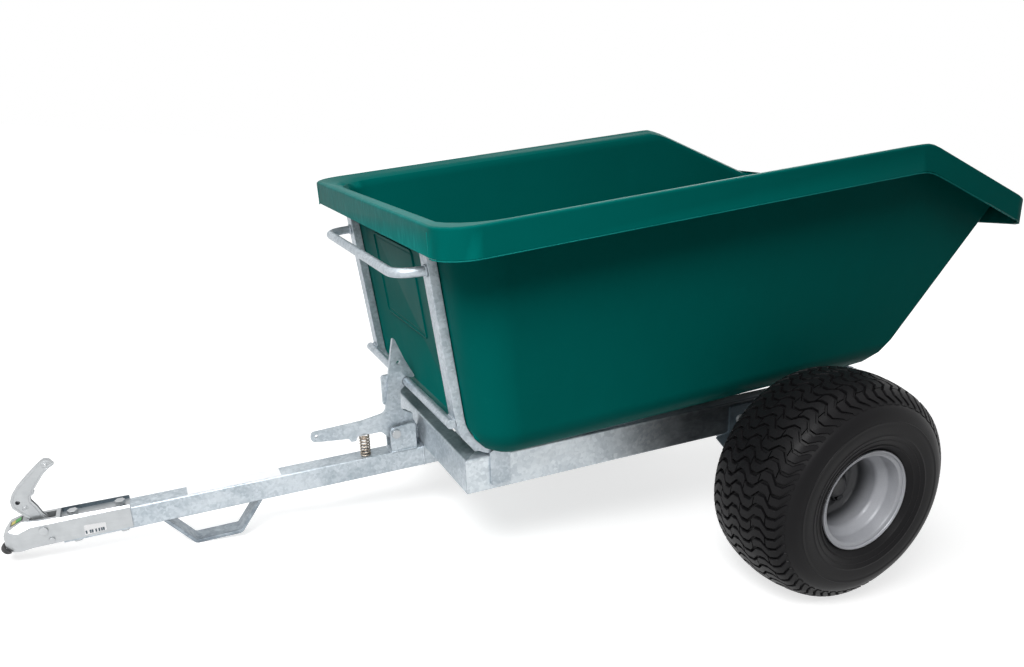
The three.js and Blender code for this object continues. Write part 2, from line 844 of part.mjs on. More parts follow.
function axleNut() {
  const from = hubOutboard - 2 + seatGap;
  return acrossY(hexagon(30, 0, 0), from, from + 9).subtract(
    rodY(stubRadius + seatGap, 0, 0, from - 5, from + 20, 24));
}

function hubCap() {
  const from = hubOutboard + seatGap;
  const r = hubBarrelRadius;
  return turnedY([
    [0, from + 20],
    [r - 12, from + 18],
    [r - 4, from + 12],
    [r - 3, from],
    [r, from],
    [r, from + 12],
    [r - 6, from + 20],
    [r - 14, from + 23.5],
    [0, from + 24],
  ], 32);
}

// ---------------------------------------------------------------- wheel

function rim() {
  const seat = beadRadius;
  const well = wellRadius;
  const w = rimHalfWidth;
  const t = rimSheet;
  const disc = discFace - discSheet;
  const body = turnedY([
    [flangeRadius - 3, -w],
    [flangeRadius, -w + 3],
    [flangeRadius - 1, -w + 7],
    [seat, -w + 9],
    [seat, -46],
    [well, -30],
    [well, 8],
    [seat, 26],
    [seat, w - 9],
    [flangeRadius - 1, w - 7],
    [flangeRadius, w - 3],
    [flangeRadius - 3, w],
    [flangeRadius - 5.5, w - 2.5],
    [seat - t + 1, w - 5.5],
    [seat - t, w - 13],
    [seat - t - 1.5, 28],
    [well - t, 9],
    [72, 7],
    [62, discFace],
    [wheelBoreRadius, discFace],
    [wheelBoreRadius, disc],
    [64, disc],
    [73, 3],
    [well - t, 4],
    [well - t, -28],
    [seat - t - 1.5, -44],
    [seat - t + 1, -w + 5.5],
  ], 36);
  let cut = body;
  for (let i = 0; i < studCount; i++) {
    const angle = ((i + 0.5) * 2 * Math.PI) / studCount;
    const x = studCircleRadius * Math.cos(angle);
    const z = studCircleRadius * Math.sin(angle);
    cut = cut.subtract(rodY(studRadius + seatGap, x, z, -30, 30, 8));
  }
  return cut.subtract(rodY(valveRadius + seatGap, 0, valveCircleRadius, 5, 50, 16));
}

function valveStem() {
  const tip = 46;
  return turnedY([
    [0, 10],
    [valveRadius, 10],
    [valveRadius, tip - 12],
    [valveRadius - 1, tip - 12],
    [valveRadius - 1, tip],
    [0, tip],
  ], 16);
}

function tyre() {
  const seat = beadRadius + seatGap;
  const bulge = tyreHalfWidth;
  const heel = rimHalfWidth - 8 - seatGap;
  const outer = [
    [seat, heel - 18],
    [seat + 1, heel - 2],
    [flangeRadius + 2, heel + 2],
    [flangeRadius + 12, heel + 13],
    [150, bulge - 4],
    [153, bulge - 0.5],
    [174, bulge],
    [198, bulge - 6],
    [216, bulge - 20],
    [tyreRadius - 20, treadHalfWidth],
    [tyreRadius - 5.5, treadHalfWidth / 2],
    [tyreRadius, 0],
  ];
  const inner = [
    [tyreRadius - tyreWall - 3, 0],
    [tyreRadius - 28, treadHalfWidth - 8],
    [190, bulge - tyreWall - 1],
    [145, bulge - tyreWall - 4],
    [seat + 14, heel - 12],
  ];
  const mirror = (points) => points.map(([r, y]) => [r, -y]).reverse();
  return turnedY([
    ...outer,
    ...mirror(outer).slice(1),
    ...mirror(inner),
    ...inner.slice(1),
  ].reverse(), 40);
}

// ---------------------------------------------------------------- coupling

// The nose's top slopes down to the front over the ball.
const noseTop = (x) => couplingTop + 1.6 + (x - ballX) * 0.42;

function couplingBody() {
  const half = couplingHalfWidth;
  const nose = ballX - couplingNoseRadius;
  const side = roundedPolygon([
    [nose, couplingBottom + 3, 3],
    [nose + 2, ballZ + 14, 12],
    [ballX - 18, noseTop(ballX - 18), 12],
    [ballX + 8, noseTop(ballX + 8), 8],
    [ballX + 34, couplingTop + 1, 20],
    [couplingRear, couplingTop - 3],
    [couplingRear, couplingBottom],
    [nose + 12, couplingBottom],
  ]);
  const plan = new THREE.Shape();
  plan.moveTo(couplingRear + 1, -half);
  plan.lineTo(couplingRear + 1, half);
  plan.lineTo(ballX + 22, half);
  plan.lineTo(ballX, couplingNoseRadius);
  plan.absarc(ballX, 0, couplingNoseRadius, Math.PI / 2, (3 * Math.PI) / 2, false);
  plan.lineTo(ballX + 22, -half);
  const wide = couplingNoseRadius + 1;
  const section = roundedPolygon([
    [-wide, couplingBottom - 1],
    [wide, couplingBottom - 1],
    [wide, couplingTop - 14, 8],
    [wide - 18, couplingTop + 7, 10],
    [-wide + 18, couplingTop + 7, 10],
    [-wide, couplingTop - 14, 8],
  ]);
  let body = acrossY(side, -wide, wide, 3)
    .intersect(upZ(plan, couplingBottom - 2, couplingTop + 9, 7))
    .intersect(alongX(section, nose - 2, couplingRear + 2));
  const ball = new THREE.SphereGeometry(ballRadius + 0.4, 20, 10);
  ball.rotateX(Math.PI / 2);
  ball.translate(ballX, 0, ballZ);
  const inside = half - couplingSheet;
  body = body
    .subtract(solid(ball))
    .subtract(rodZ(ballRadius + 0.4, ballX, 0, couplingBottom - 5, ballZ, 20))
    .subtract(box(ballX + 4, couplingRear + 5, -inside, inside, couplingBottom - 5,
      drawbarTop + seatGap))
    .subtract(box(drawbarFront + 4, couplingRear + 5, -19, 19, drawbarTop + 3.6, 60))
    .subtract(box(handlePivotX - 24, drawbarFront - 6, -handleWidth / 2 - 1,
      handleWidth / 2 + 1, 20, 60))
    .subtract(rodY(handlePinRadius + seatGap, handlePivotX, handlePivotZ, -40, 40, 16))
    .subtract(rodY(jawPinRadius + seatGap, jawPivotX, jawPivotZ, -40, 40, 12));
  body = body.subtract(indicatorBlock(seatGap));
  for (const x of couplingBoltX) {
    body = body.subtract(rodZ(couplingBoltRadius + seatGap, x, 0, 20, 60, 16));
  }
  return body;
}

function pinAcross(radius, x, z, half, headRadius) {
  return rodY(radius, x, z, -half - 3, half + 3, 16)
    .add(rodY(headRadius, x, z, half + seatGap, half + 4, 16))
    .add(rodY(headRadius, x, z, -half - 4, -half - seatGap, 16));
}

function couplingBolt(x) {
  const head = drawbarTop + 3.6 + seatGap;
  const under = drawbarTop - drawbarSize;
  return rodZ(couplingBoltRadius, x, 0, under - 12, head + 2, 16)
    .add(upZ(hexagon(19, x, 0), head, head + 8))
    .add(upZ(hexagon(19, x, 0), under - 10, under - seatGap));
}

function couplingHandle() {
  const outline = roundedPolygon([
    [handlePivotX - 12, handlePivotZ - 12, 9],
    [handlePivotX + 12, handlePivotZ - 12, 9],
    [handlePivotX + 9, handlePivotZ + 24, 6],
    [handlePivotX + 2, handlePivotZ + 44, 10],
    [handlePivotX - 12, handlePivotZ + 64, 8],
    [handlePivotX - 12, handlePivotZ + 76, 8],
    [handlePivotX, handlePivotZ + 92, 10],
    [handlePivotX + 28, handlePivotZ + 122, 6],
    [handlePivotX + 48, handlePivotZ + 139, 4],
    [handlePivotX + 36, handlePivotZ + 154, 12],
    [handlePivotX + 16, handlePivotZ + 143, 10],
    [handlePivotX - 36, handlePivotZ + 94, 16],
    [handlePivotX - 52, handlePivotZ + 73, 16],
    [handlePivotX - 36, handlePivotZ + 44, 14],
    [handlePivotX - 20, handlePivotZ + 26, 6],
  ]);
  const pocket = roundedPolygon([
    [handlePivotX - 14, handlePivotZ + 52, 5],
    [handlePivotX - 6, handlePivotZ + 80, 8],
    [handlePivotX + 40, handlePivotZ + 128, 4],
    [handlePivotX + 80, handlePivotZ + 106, 2],
    [handlePivotX + 40, handlePivotZ + 36, 2],
  ]);
  const half = handleWidth / 2;
  const sheet = 3;
  return acrossY(outline, -half, half)
    .subtract(acrossY(pocket, -half + sheet, half - sheet))
    .subtract(rodY(handlePinRadius + seatGap, handlePivotX, handlePivotZ, -20, 20, 16))
    .subtract(rodY(5, handlePivotX - 35, handlePivotZ + 67, -20, 20, 12));
}

// The jaw that closes under the back of the ball.
function couplingJaw() {
  const shape = roundedPolygon([
    [jawPivotX + 9, -9, 4],
    [jawPivotX + 9, 9, 6],
    [jawPivotX - 6, 9, 3],
    [-1621, 4, 2],
    [-1626, -8, 2],
  ]);
  const ball = new THREE.SphereGeometry(ballRadius + 3, 16, 8);
  ball.rotateX(Math.PI / 2);
  ball.translate(ballX, 0, ballZ);
  return acrossY(shape, -20, 20, 4)
    .subtract(solid(ball))
    .subtract(rodY(jawPinRadius + seatGap, jawPivotX, jawPivotZ, -30, 30, 12));
}

// A rubber edge round the foot of the nose.
function couplingBumper() {
  const inner = couplingNoseRadius + seatGap;
  const shape = new THREE.Shape();
  const from = Math.PI - 1.0;
  const to = Math.PI + 1.0;
  shape.absarc(ballX, 0, inner + bumperSheet, from, to, false);
  shape.absarc(ballX, 0, inner, to, from, true);
  shape.closePath();
  return upZ(shape, couplingBottom - 3, couplingBottom + 13, 5);
}

// The wear indicator, let into the sloping top of the nose, and the pocket that it sits in.
function indicatorBlock(room) {
  const from = ballX - 14 - room;
  const to = ballX + 6 + room;
  const proud = 0.8 + room;
  const thick = 5;
  const shape = roundedPolygon([
    [from, noseTop(from) - thick - room],
    [to, noseTop(to) - thick - room],
    [to, noseTop(to) + proud],
    [from, noseTop(from) + proud],
  ]);
  return acrossY(shape, -8 - room, 8 + room);
}

// ---------------------------------------------------------------- latch

// Where the latch bar lies in the chassis frame.
function latchBarInChassis() {
  const [x, z] = latchBarPlace();
  const turned = new THREE.Vector2(
    x * Math.cos(tubTilt) - z * Math.sin(tubTilt),
    x * Math.sin(tubTilt) + z * Math.cos(tubTilt),
  );
  return [pivotX + turned.x, pivotZ + turned.y];
}

function latchBracket() {
  const near = roundedPolygon([
    [latchPivotX - 14, drawbarTop + seatGap, 1],
    [chassisFront - 16, drawbarTop + seatGap, 1],
    [chassisFront - 16, latchPivotZ + 20, 9],
    [latchPivotX - 14, latchPivotZ + 14, 12],
  ]);
  const far = roundedPolygon([
    [latchPivotX - 14, drawbarTop + seatGap, 1],
    [chassisFront - seatGap, drawbarTop + seatGap, 1],
    [chassisFront - seatGap, latchPivotZ - 6, 14],
    [chassisFront - 22, latchPivotZ + 40, 18],
    [latchPivotX + 12, latchPivotZ + 46, 10],
    [latchPivotX - 14, latchPivotZ + 14, 12],
  ]);
  const base = box(latchPivotX - 14, chassisFront - 16, -24, 19,
    drawbarTop + seatGap, drawbarTop + seatGap + 5);
  return acrossY(near, -24, -18)
    .add(acrossY(far, 13, 19))
    .add(base)
    .subtract(rodY(latchPinRadius + seatGap, latchPivotX, latchPivotZ, -40, 40, 20));
}

function latchPin() {
  return rodY(latchPinRadius, latchPivotX, latchPivotZ, -26, 24)
    .add(rodY(latchPinRadius + 4, latchPivotX, latchPivotZ, -30, -24 - seatGap))
    .add(rodY(latchPinRadius + 4, latchPivotX, latchPivotZ, 19 + seatGap, 22))
    .add(rodY(latchPinRadius + 5, latchPivotX, latchPivotZ, -18 + seatGap, -10 - seatGap));
}

// The hook plate: a pressing arm towards the hitch, a ramp that the bar rides down,
// and under the ramp the notch that holds it.
function latchLever() {
  const [barX, barZ] = latchBarInChassis();
  const notch = roundBarRadius + 1.5;
  const tooth = 0.8 * roundBarRadius; // the hook's point lies this far above the bar's middle
  const outline = roundedPolygon([
    [latchPivotX - 14, latchPivotZ - 14, 13],
    [latchPivotX + 16, latchPivotZ - 14, 13],
    [chassisFront - 18, latchPivotZ + 16, 3],
    [chassisFront - 17, latchPivotZ + 38, 3],
    [latchPivotX + 20, latchPivotZ + 54, 16],
    [barX - notch - 5, barZ - 2 * roundBarRadius, 4],
    [barX - 4, barZ - roundBarRadius],
    [barX + 1, barZ + tooth],
    [barX + notch + 8.5, barZ + tooth, 2],
    [barX + notch + 7.5, barZ + tooth + 6, 2],
    [-788, 258, 30],
    [-812, 319, 3],
    [-824, 258, 20],
    [-841, 150, 6],
    [-843, 131, 16],
    [-903, 121, 30],
    [-1024, 116, 8],
    [-1027, 95, 8],
    [-1005, 91, 8],
    [-938, 84, 3],
    [-933, 75, 2],
    [-921, 75, 2],
    [-916, 86, 3],
    [-858, 86, 10],
  ]);
  const stiffener = roundedPolygon([
    [-845, 150, 2],
    [-845, 222, 6],
    [-806, 222, 6],
    [-806, 150, 2],
  ]);
  return acrossY(outline, -latchPlate, 0)
    .add(acrossY(stiffener, -1, 8))
    .add(rodY(13, latchPivotX, latchPivotZ, -1, 13 - seatGap))
    .subtract(rodY(notch, barX, barZ, -20, 20, 24))
    .subtract(rodY(latchPinRadius + seatGap, latchPivotX, latchPivotZ, -30, 30, 20))
    .subtract(rodY(4.5, -1013, 106, -30, 30, 16))
    .subtract(rodY(5, -804, 252, -30, 30, 16));
}

class Helix extends THREE.Curve {
  constructor(radius, bottom, top, turns) {
    super();
    Object.assign(this, { radius, bottom, top, turns });
  }
  getPoint(t, target = new THREE.Vector3()) {
    const angle = 2 * Math.PI * this.turns * t;
    const ends = 0.12;
    const rise = Math.min(Math.max((t - ends) / (1 - 2 * ends), 0), 1);
    return target.set(
      this.radius * Math.cos(angle),
      this.radius * Math.sin(angle),
      this.bottom + (this.top - this.bottom) * (0.1 * t + 0.9 * rise),
    );
  }
}

function latchSpring() {
  const bottom = drawbarTop + seatGap + springWire / 2;
  const top = 86 - seatGap - springWire / 2;
  const helix = new Helix(springRadius, bottom, top, springTurns + 1);
  const section = new THREE.Shape().absarc(0, 0, springWire / 2, 0, Math.PI * 2);
  const g = new THREE.ExtrudeGeometry(section, {
    extrudePath: helix,
    steps: (springTurns + 1) * 10,
    curveSegments: 3,
  });
  g.translate(springX, -latchPlate / 2, 0);
  return solid(g);
}

function springGuide() {
  const bottom = drawbarTop + seatGap;
  return rodZ(guidePinRadius, springX, -latchPlate / 2, bottom, bottom + 24, 12);
}

// ---------------------------------------------------------------- assembly

function piece(name, body, finish, parent) {
  const material = new THREE.MeshStandardMaterial({ ...finish, name: name + "_finish" });
  const mesh = new THREE.Mesh(geometryOf(body), material);
  mesh.name = name;
  parent.add(mesh);
  return mesh;
}

const trailer = new THREE.Group();
const sides = [
  ["left", -1],
  ["right", 1],
];

// The tub and its cradle, in a frame on the tipping axis.
const tipper = new THREE.Group();
tipper.position.set(pivotX, 0, pivotZ);
tipper.rotation.y = -tubTilt;
trailer.add(tipper);
piece("tub", tub(), greenPlastic, tipper);
piece("cradle_cross_bar", crossBar(), galvanised, tipper);
piece("cradle_push_handle", pushHandle(), galvanised, tipper);
for (const [name, side] of sides) {
  piece("cradle_bar_" + name, cradleSide(side), galvanised, tipper);
  piece("tipping_lug_" + name, tippingLug(side), galvanised, tipper);
}

// The chassis.
piece("drawbar", drawbar(), galvanised, trailer);
piece("drawbar_foot", drawbarFoot(), galvanised, trailer);
piece("chassis_front_member", frontMember(), galvanised, trailer);
piece("chassis_rear_member", rearMember(), galvanised, trailer);
piece("axle_beam", axleBeam(), galvanised, trailer);
for (const [name, side] of sides) {
  piece("chassis_rail_" + name, chassisRail(side), galvanised, trailer);
  piece("guide_lug_" + name, guideLug(side), galvanised, trailer);
  piece("pivot_ear_" + name, pivotEar(side), galvanised, trailer);
  piece("pivot_bolt_" + name, pivotPin(side), zincPlate, trailer);
  piece("axle_bracket_" + name, axleBracket(side), galvanised, trailer);
}

// The latch.
piece("latch_bracket", latchBracket(), galvanised, trailer);
piece("latch_lever", latchLever(), galvanised, trailer);
piece("latch_pin", latchPin(), zincPlate, trailer);
piece("latch_spring", latchSpring(), springSteel, trailer);
piece("latch_spring_guide", springGuide(), zincPlate, trailer);

// The coupling.
piece("coupling_body", couplingBody(), zincPlate, trailer);
piece("coupling_bumper", couplingBumper(), blackPlastic, trailer);
piece("coupling_indicator", indicatorBlock(0), indicatorGreen, trailer);
piece("coupling_handle", couplingHandle(), zincPlate, trailer);
piece("coupling_handle_pin",
  pinAcross(handlePinRadius, handlePivotX, handlePivotZ, couplingHalfWidth, 9),
  zincPlate, trailer);
piece("coupling_jaw", couplingJaw(), zincPlate, trailer);
piece("coupling_jaw_pin",
  pinAcross(jawPinRadius, jawPivotX, jawPivotZ, couplingHalfWidth, 6),
  zincPlate, trailer);
piece("coupling_bolt_front", couplingBolt(couplingBoltX[0]), zincPlate, trailer);
piece("coupling_bolt_rear", couplingBolt(couplingBoltX[1]), zincPlate, trailer);

// The wheels, each drawn with its outboard side along +Y.
for (const [name, side] of sides) {
  const wheel = new THREE.Group();
  wheel.position.set(0, side * wheelCentreY, 0);
  wheel.rotation.set(0, standLean, side < 0 ? Math.PI : 0);
  trailer.add(wheel);
  piece("stub_axle_" + name, stubAxle(), zincPlate, wheel);
  piece("axle_nut_" + name, axleNut(), zincPlate, wheel);
  piece("bearing_inner_" + name, bearing(hubInboard + 1), zincPlate, wheel);
  piece("bearing_outer_" + name, bearing(hubOutboard - bearingWidth - 2), zincPlate, wheel);
  piece("hub_" + name, hub(), galvanised, wheel);
  piece("hub_cap_" + name, hubCap(), blackPlastic, wheel);
  piece("wheel_rim_" + name, rim(), silverPaint, wheel);
  piece("tyre_" + name, tyre(), tyreRubber, wheel);
  const valve = piece("valve_stem_" + name, valveStem(), blackPlastic, wheel);
  valve.position.set(0, 0, valveCircleRadius);
}

// Lean the trailer onto its foot, then put the middle of its footprint at the origin.
trailer.rotation.y = -standLean;
const part = new THREE.Group();
part.add(trailer);
part.updateMatrixWorld(true);
const bounds = new THREE.Box3().setFromObject(part, true);
trailer.position.set(
  -(bounds.min.x + bounds.max.x) / 2,
  -(bounds.min.y + bounds.max.y) / 2,
  -bounds.min.z,
);

export default part;
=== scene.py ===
"""Tipping trailer for a quad bike: the looks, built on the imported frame."""

import json
import math
import random

import bmesh
import bpy
from mathutils import Matrix, Vector
from mathutils.geometry import tessellate_polygon


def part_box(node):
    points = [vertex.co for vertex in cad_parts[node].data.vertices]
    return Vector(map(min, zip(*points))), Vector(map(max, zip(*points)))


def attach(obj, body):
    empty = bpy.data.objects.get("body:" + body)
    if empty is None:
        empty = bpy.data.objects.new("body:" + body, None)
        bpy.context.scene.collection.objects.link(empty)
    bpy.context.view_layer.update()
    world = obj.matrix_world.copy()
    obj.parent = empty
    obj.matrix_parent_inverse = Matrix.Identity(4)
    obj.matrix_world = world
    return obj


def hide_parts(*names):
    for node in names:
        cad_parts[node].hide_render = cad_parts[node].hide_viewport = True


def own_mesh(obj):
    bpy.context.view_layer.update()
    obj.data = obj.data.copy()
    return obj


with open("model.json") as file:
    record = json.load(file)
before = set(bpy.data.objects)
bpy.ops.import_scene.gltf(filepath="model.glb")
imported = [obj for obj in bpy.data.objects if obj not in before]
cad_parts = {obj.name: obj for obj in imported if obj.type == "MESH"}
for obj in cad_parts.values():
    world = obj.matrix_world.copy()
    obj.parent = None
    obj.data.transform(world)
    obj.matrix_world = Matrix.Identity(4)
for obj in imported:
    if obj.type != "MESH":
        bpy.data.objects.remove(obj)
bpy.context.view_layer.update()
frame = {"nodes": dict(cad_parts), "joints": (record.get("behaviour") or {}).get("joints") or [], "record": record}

MM = 0.001

# ---------------------------------------------------------------- places from the frame

joint_at = {joint["name"]: Vector(joint["pos_m"]) for joint in frame["joints"]}
chassis_down = Vector(frame["record"]["mounts"][0]["axis"]).normalized()


def frame_at(origin, up):
    """A frame standing on origin with its Z along up and its Y across the trailer."""
    across = Vector((0, 1, 0))
    along = across.cross(up).normalized()
    turn = Matrix((along, across, up)).transposed()
    return Matrix.Translation(origin) @ turn.to_4x4()


# The chassis frame: level with the drawbar, its origin in the middle of the axle.
axle = (joint_at["wheel_spin_left"] + joint_at["wheel_spin_right"]) / 2
CHASSIS = frame_at(Vector((axle.x, 0, axle.z)), -chassis_down)
# How far the chassis leans forwards when the trailer is parked on its foot.
LEAN = math.asin(chassis_down.x)
# How far out from the centre line a wheel's middle is, in metres.
WHEEL_MIDDLE = sum(abs(corner[1]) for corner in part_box("tyre_left")) / 2

# ---------------------------------------------------------------- finishes


class Value:
    """A number that changes over a surface. Sums written with it add Math nodes."""

    def __init__(self, finish, socket):
        self.finish = finish
        self.socket = socket

    def math(self, operation, *others):
        inputs = dict(enumerate((self, *others)))
        made = self.finish.node("ShaderNodeMath", {"operation": operation}, inputs)
        return Value(self.finish, made.outputs[0])

    def __add__(self, other):
        return self.math("ADD", other)

    def __mul__(self, other):
        return self.math("MULTIPLY", other)

    def __sub__(self, other):
        return self.math("SUBTRACT", other)

    def __rsub__(self, other):
        return (self * -1.0).math("ADD", other)

    def over(self, low, high):
        """Nought below low, one above high, and smooth between them."""
        settings = {"interpolation_type": "SMOOTHSTEP"}
        inputs = {"Value": self, "From Min": low, "From Max": high}
        made = self.finish.node("ShaderNodeMapRange", settings, inputs)
        return Value(self.finish, made.outputs["Result"])

    __radd__ = __add__
    __rmul__ = __mul__


class Finish:
    """One material: its nodes, and the surface that they colour."""

    def __init__(self, name, slot, **constants):
        self.slot = slot
        self.material = bpy.data.materials.new(name)
        self.material.use_nodes = True
        self.tree = self.material.node_tree
        self.surface = self.tree.nodes["Principled BSDF"]
        for socket, value in constants.items():
            self.surface.inputs[socket.replace("_", " ")].default_value = value

    def node(self, kind, settings=None, inputs=None):
        """A node of a kind, its settings set first, then its sockets' values or links."""
        made = self.tree.nodes.new(kind)
        for key, value in (settings or {}).items():
            setattr(made, key, value)
        for key, value in (inputs or {}).items():
            self.plug(made.inputs[key], value)
        return made

    def plug(self, socket, value):
        """Links a changing value to a socket, or sets a fixed one."""
        if isinstance(value, Value):
            self.tree.links.new(value.socket, socket)
        elif isinstance(value, bpy.types.NodeSocket):
            self.tree.links.new(value, socket)
        elif hasattr(value, "__len__") and len(value) == 3 and socket.type == "RGBA":
            socket.default_value = (*value, 1)
        else:
            socket.default_value = value

    def place(self, stretch=(1, 1, 1)):
        """Where a point is on the piece, in metres, squeezed along each axis by stretch."""
        where = self.node("ShaderNodeTexCoord").outputs["Object"]
        settings = {"operation": "MULTIPLY"}
        return self.node("ShaderNodeVectorMath", settings, {0: where, 1: stretch}).outputs[0]

    def axis(self, which):
        """How far along X, Y or Z a point is, in metres."""
        parts = self.node("ShaderNodeSeparateXYZ", None, {0: self.place()})
        return Value(self, parts.outputs[which])

    def clouds(self, size, detail=2, roughness=0.5, stretch=(1, 1, 1), distortion=0.0):
        """Soft noise from nought to one, with patches about size metres across."""
        inputs = {
            "Vector": self.place(stretch),
            "Scale": 1 / size,
            "Detail": detail,
            "Roughness": roughness,
            "Distortion": distortion,
        }
        return Value(self, self.node("ShaderNodeTexNoise", None, inputs).outputs[0])

    def crystals(self, size):
        """Cells about size metres across, each with its own number from nought to one."""
        inputs = {"Vector": self.place(), "Scale": 1 / size}
        cells = self.node("ShaderNodeTexVoronoi", {"feature": "F1"}, inputs)
        parts = self.node("ShaderNodeSeparateColor", None, {0: cells.outputs["Color"]})
        return Value(self, parts.outputs[0])

    def blend(self, factor, first, second):
        """A colour between two others."""
        settings = {"data_type": "RGBA", "blend_type": "MIX"}
        inputs = {0: factor, 6: first, 7: second}
        return self.node("ShaderNodeMix", settings, inputs).outputs[2]

    def wear(self, colour=None, roughness=None, relief=None, depth=0.0002, metallic=None):
        """Gives the surface its colour, roughness and relief."""
        if colour is not None:
            self.plug(self.surface.inputs["Base Color"], colour)
        if roughness is not None:
            self.plug(self.surface.inputs["Roughness"], roughness)
        if metallic is not None:
            self.plug(self.surface.inputs["Metallic"], metallic)
        if relief is not None:
            inputs = {"Height": relief, "Distance": depth, "Strength": 1.0}
            bump = self.node("ShaderNodeBump", None, inputs)
            self.plug(self.surface.inputs["Normal"], bump.outputs["Normal"])
        return self


def green_polyethylene():
    """Rotationally moulded tub plastic: even deep green, an eggshell gloss, a faint peel."""
    finish = Finish("green_polyethylene", "tub_green_plastic", IOR=1.45,
                    Specular_IOR_Level=0.012, Specular_Tint=(0.25, 1.0, 0.95, 1.0))
    drift = finish.clouds(0.35, 3)
    flow = finish.clouds(0.05, 4, 0.6, (1, 1, 0.35), 0.4)
    peel = finish.clouds(0.0035, 2)
    dents = finish.clouds(0.12, 2)
    scuffs = finish.clouds(0.02, 5, 0.7, (0.25, 1, 1)).over(0.60, 0.78)
    deep = (0.0002, 0.104, 0.090)
    light = (0.0003, 0.128, 0.114)
    colour = finish.blend(drift * 0.7 + flow * 0.3, deep, light)
    colour = finish.blend(scuffs * 0.16, colour, (0.012, 0.175, 0.160))
    # Chafed streaks down the middle of the rim's front face.
    x, y, height = finish.axis(0), finish.axis(1), finish.axis(2)
    front = 1 - x.over(-0.305, -0.292)
    middle = 1 - (y * y).over(0.14, 0.20)
    streaks = finish.clouds(0.008, 4, 0.6, (1, 1, 0.16)).over(0.40, 0.70)
    chafed = height.over(0.60, 0.66) * front * middle * (streaks * 0.7 + 0.3)
    colour = finish.blend(chafed * 0.42, colour, (0.015, 0.24, 0.235))
    gloss = drift * 0.08 + flow * 0.08 + scuffs * 0.08 + 0.26
    return finish.wear(colour, gloss, peel * 0.10 + dents * 1.6 + flow * 0.15, 0.0010)


def moulding_flash_and_highlight():
    """The thin paler line along an edge: the mould's flash, and a painted highlight where the edge catches the
    light.
    """
    finish = Finish("moulding_flash_and_highlight", "tub_green_plastic", IOR=1.45, Specular_IOR_Level=0.03)
    drift = finish.clouds(0.08, 3)
    colour = finish.blend(drift, (0.002, 0.16, 0.145), (0.010, 0.26, 0.24))
    return finish.wear(colour, drift * 0.2 + 0.35, drift, 0.0002)


def zinc_spangle(name, dull, bright, cell, wash=0.5, spray_and_shade=0.0):
    """Hot-dip galvanising: faint crystals, soft washes and brighter runs."""
    finish = Finish(name, "galvanised_steel", Metallic=0.82)
    grey = finish.crystals(cell)
    fern = finish.clouds(cell * 0.3, 3, 0.6, distortion=2.0)
    clouds = finish.clouds(0.09, 5, 0.55, distortion=0.6)
    runs = finish.clouds(0.03, 4, 0.65, (0.35, 1, 1), 1.2)
    tone = grey * 0.22 + fern * 0.18 + clouds * 0.60
    colour = finish.blend(tone.over(0.22, 0.80), dull, bright)
    white = (clouds * 0.5 + runs * 0.5).over(0.52, 0.72)
    colour = finish.blend(white * wash, colour, (0.70, 0.75, 0.79))
    if spray_and_shade:
        # What lies towards the wheels is darker: partly the wheels' spray, partly painted shade from the tub and
        # tyres.
        near_wheels = finish.axis(0).over(0.12, 0.40)
        spray_and_painted_shade = near_wheels * (runs * 0.4 + 0.8) * spray_and_shade
        colour = finish.blend(spray_and_painted_shade, colour, (0.030, 0.037, 0.043))
    rough = grey * 0.06 + white * 0.14 + 0.42
    bumps = fern * 0.2 + runs * 0.6 + grey * 0.04
    return finish.wear(colour, rough, bumps, 0.0004, 0.78 - white * 0.3)


def tyre_rubber():
    """Black rubber with a faint bloom."""
    finish = Finish("tyre_rubber", "tyre_rubber", IOR=1.5, Specular_IOR_Level=0.12)
    bloom = finish.clouds(0.05, 4, 0.6)
    grain = finish.clouds(0.0016, 3)
    colour = finish.blend(bloom, (0.0060, 0.0058, 0.0066), (0.0110, 0.0106, 0.0116))
    return finish.wear(colour, bloom * 0.15 + 0.36, grain + bloom * 0.5, 0.00018)


def silver_enamel():
    """Silver paint with fine flakes, and painted shade darkening it towards the bottom of the wheel's dish."""
    finish = Finish("silver_enamel", "rim_silver_paint", Metallic=0.10, IOR=1.5)
    spark = finish.crystals(0.0011)
    mist = finish.clouds(0.04, 4)
    peel = finish.clouds(0.004, 2)
    colour = finish.blend(spark * 0.4 + mist * 0.6, (0.35, 0.36, 0.39), (0.48, 0.49, 0.52))
    # Painted shade: the paint darkens towards the disc, deep in the dish, where shade falls.
    across = finish.axis(1)
    deep = 1 - across.math("ABSOLUTE").over(WHEEL_MIDDLE + 0.006, WHEEL_MIDDLE + 0.046)
    colour = finish.blend(deep * 0.92, colour, (0.022, 0.023, 0.026))
    return finish.wear(colour, mist * 0.15 + spark * 0.08 + 0.30, peel, 0.00012)


def bright_zinc():
    """Bright zinc plate over drawn or pressed steel."""
    finish = Finish("bright_zinc", "zinc_plated_steel", Metallic=0.85)
    drawn = finish.clouds(0.006, 4, 0.7, (0.15, 1, 1))
    tint = finish.clouds(0.03, 3)
    colour = finish.blend(tint * 0.6 + drawn * 0.4, (0.32, 0.335, 0.35), (0.58, 0.60, 0.61))
    return finish.wear(colour, drawn * 0.2 + tint * 0.1 + 0.28, drawn, 0.00015)


def black_moulding():
    """Black moulded plastic: the bumper, the hub caps and the indicator's surround."""
    finish = Finish("black_moulding", "black_plastic", IOR=1.5)
    haze = finish.clouds(0.02, 4)
    grain = finish.clouds(0.0012, 2)
    colour = finish.blend(haze, (0.009, 0.009, 0.010), (0.022, 0.022, 0.024))
    return finish.wear(colour, haze * 0.2 + 0.38, grain, 0.0001)


def spring_wire():
    """Spring steel, stained brown in places."""
    finish = Finish("spring_wire", "spring_steel", Metallic=0.85)
    stain = finish.clouds(0.008, 4, 0.6)
    colour = finish.blend(stain.over(0.3, 0.7), (0.22, 0.17, 0.13), (0.55, 0.50, 0.43))
    return finish.wear(colour, stain * 0.3 + 0.25, stain, 0.0002)


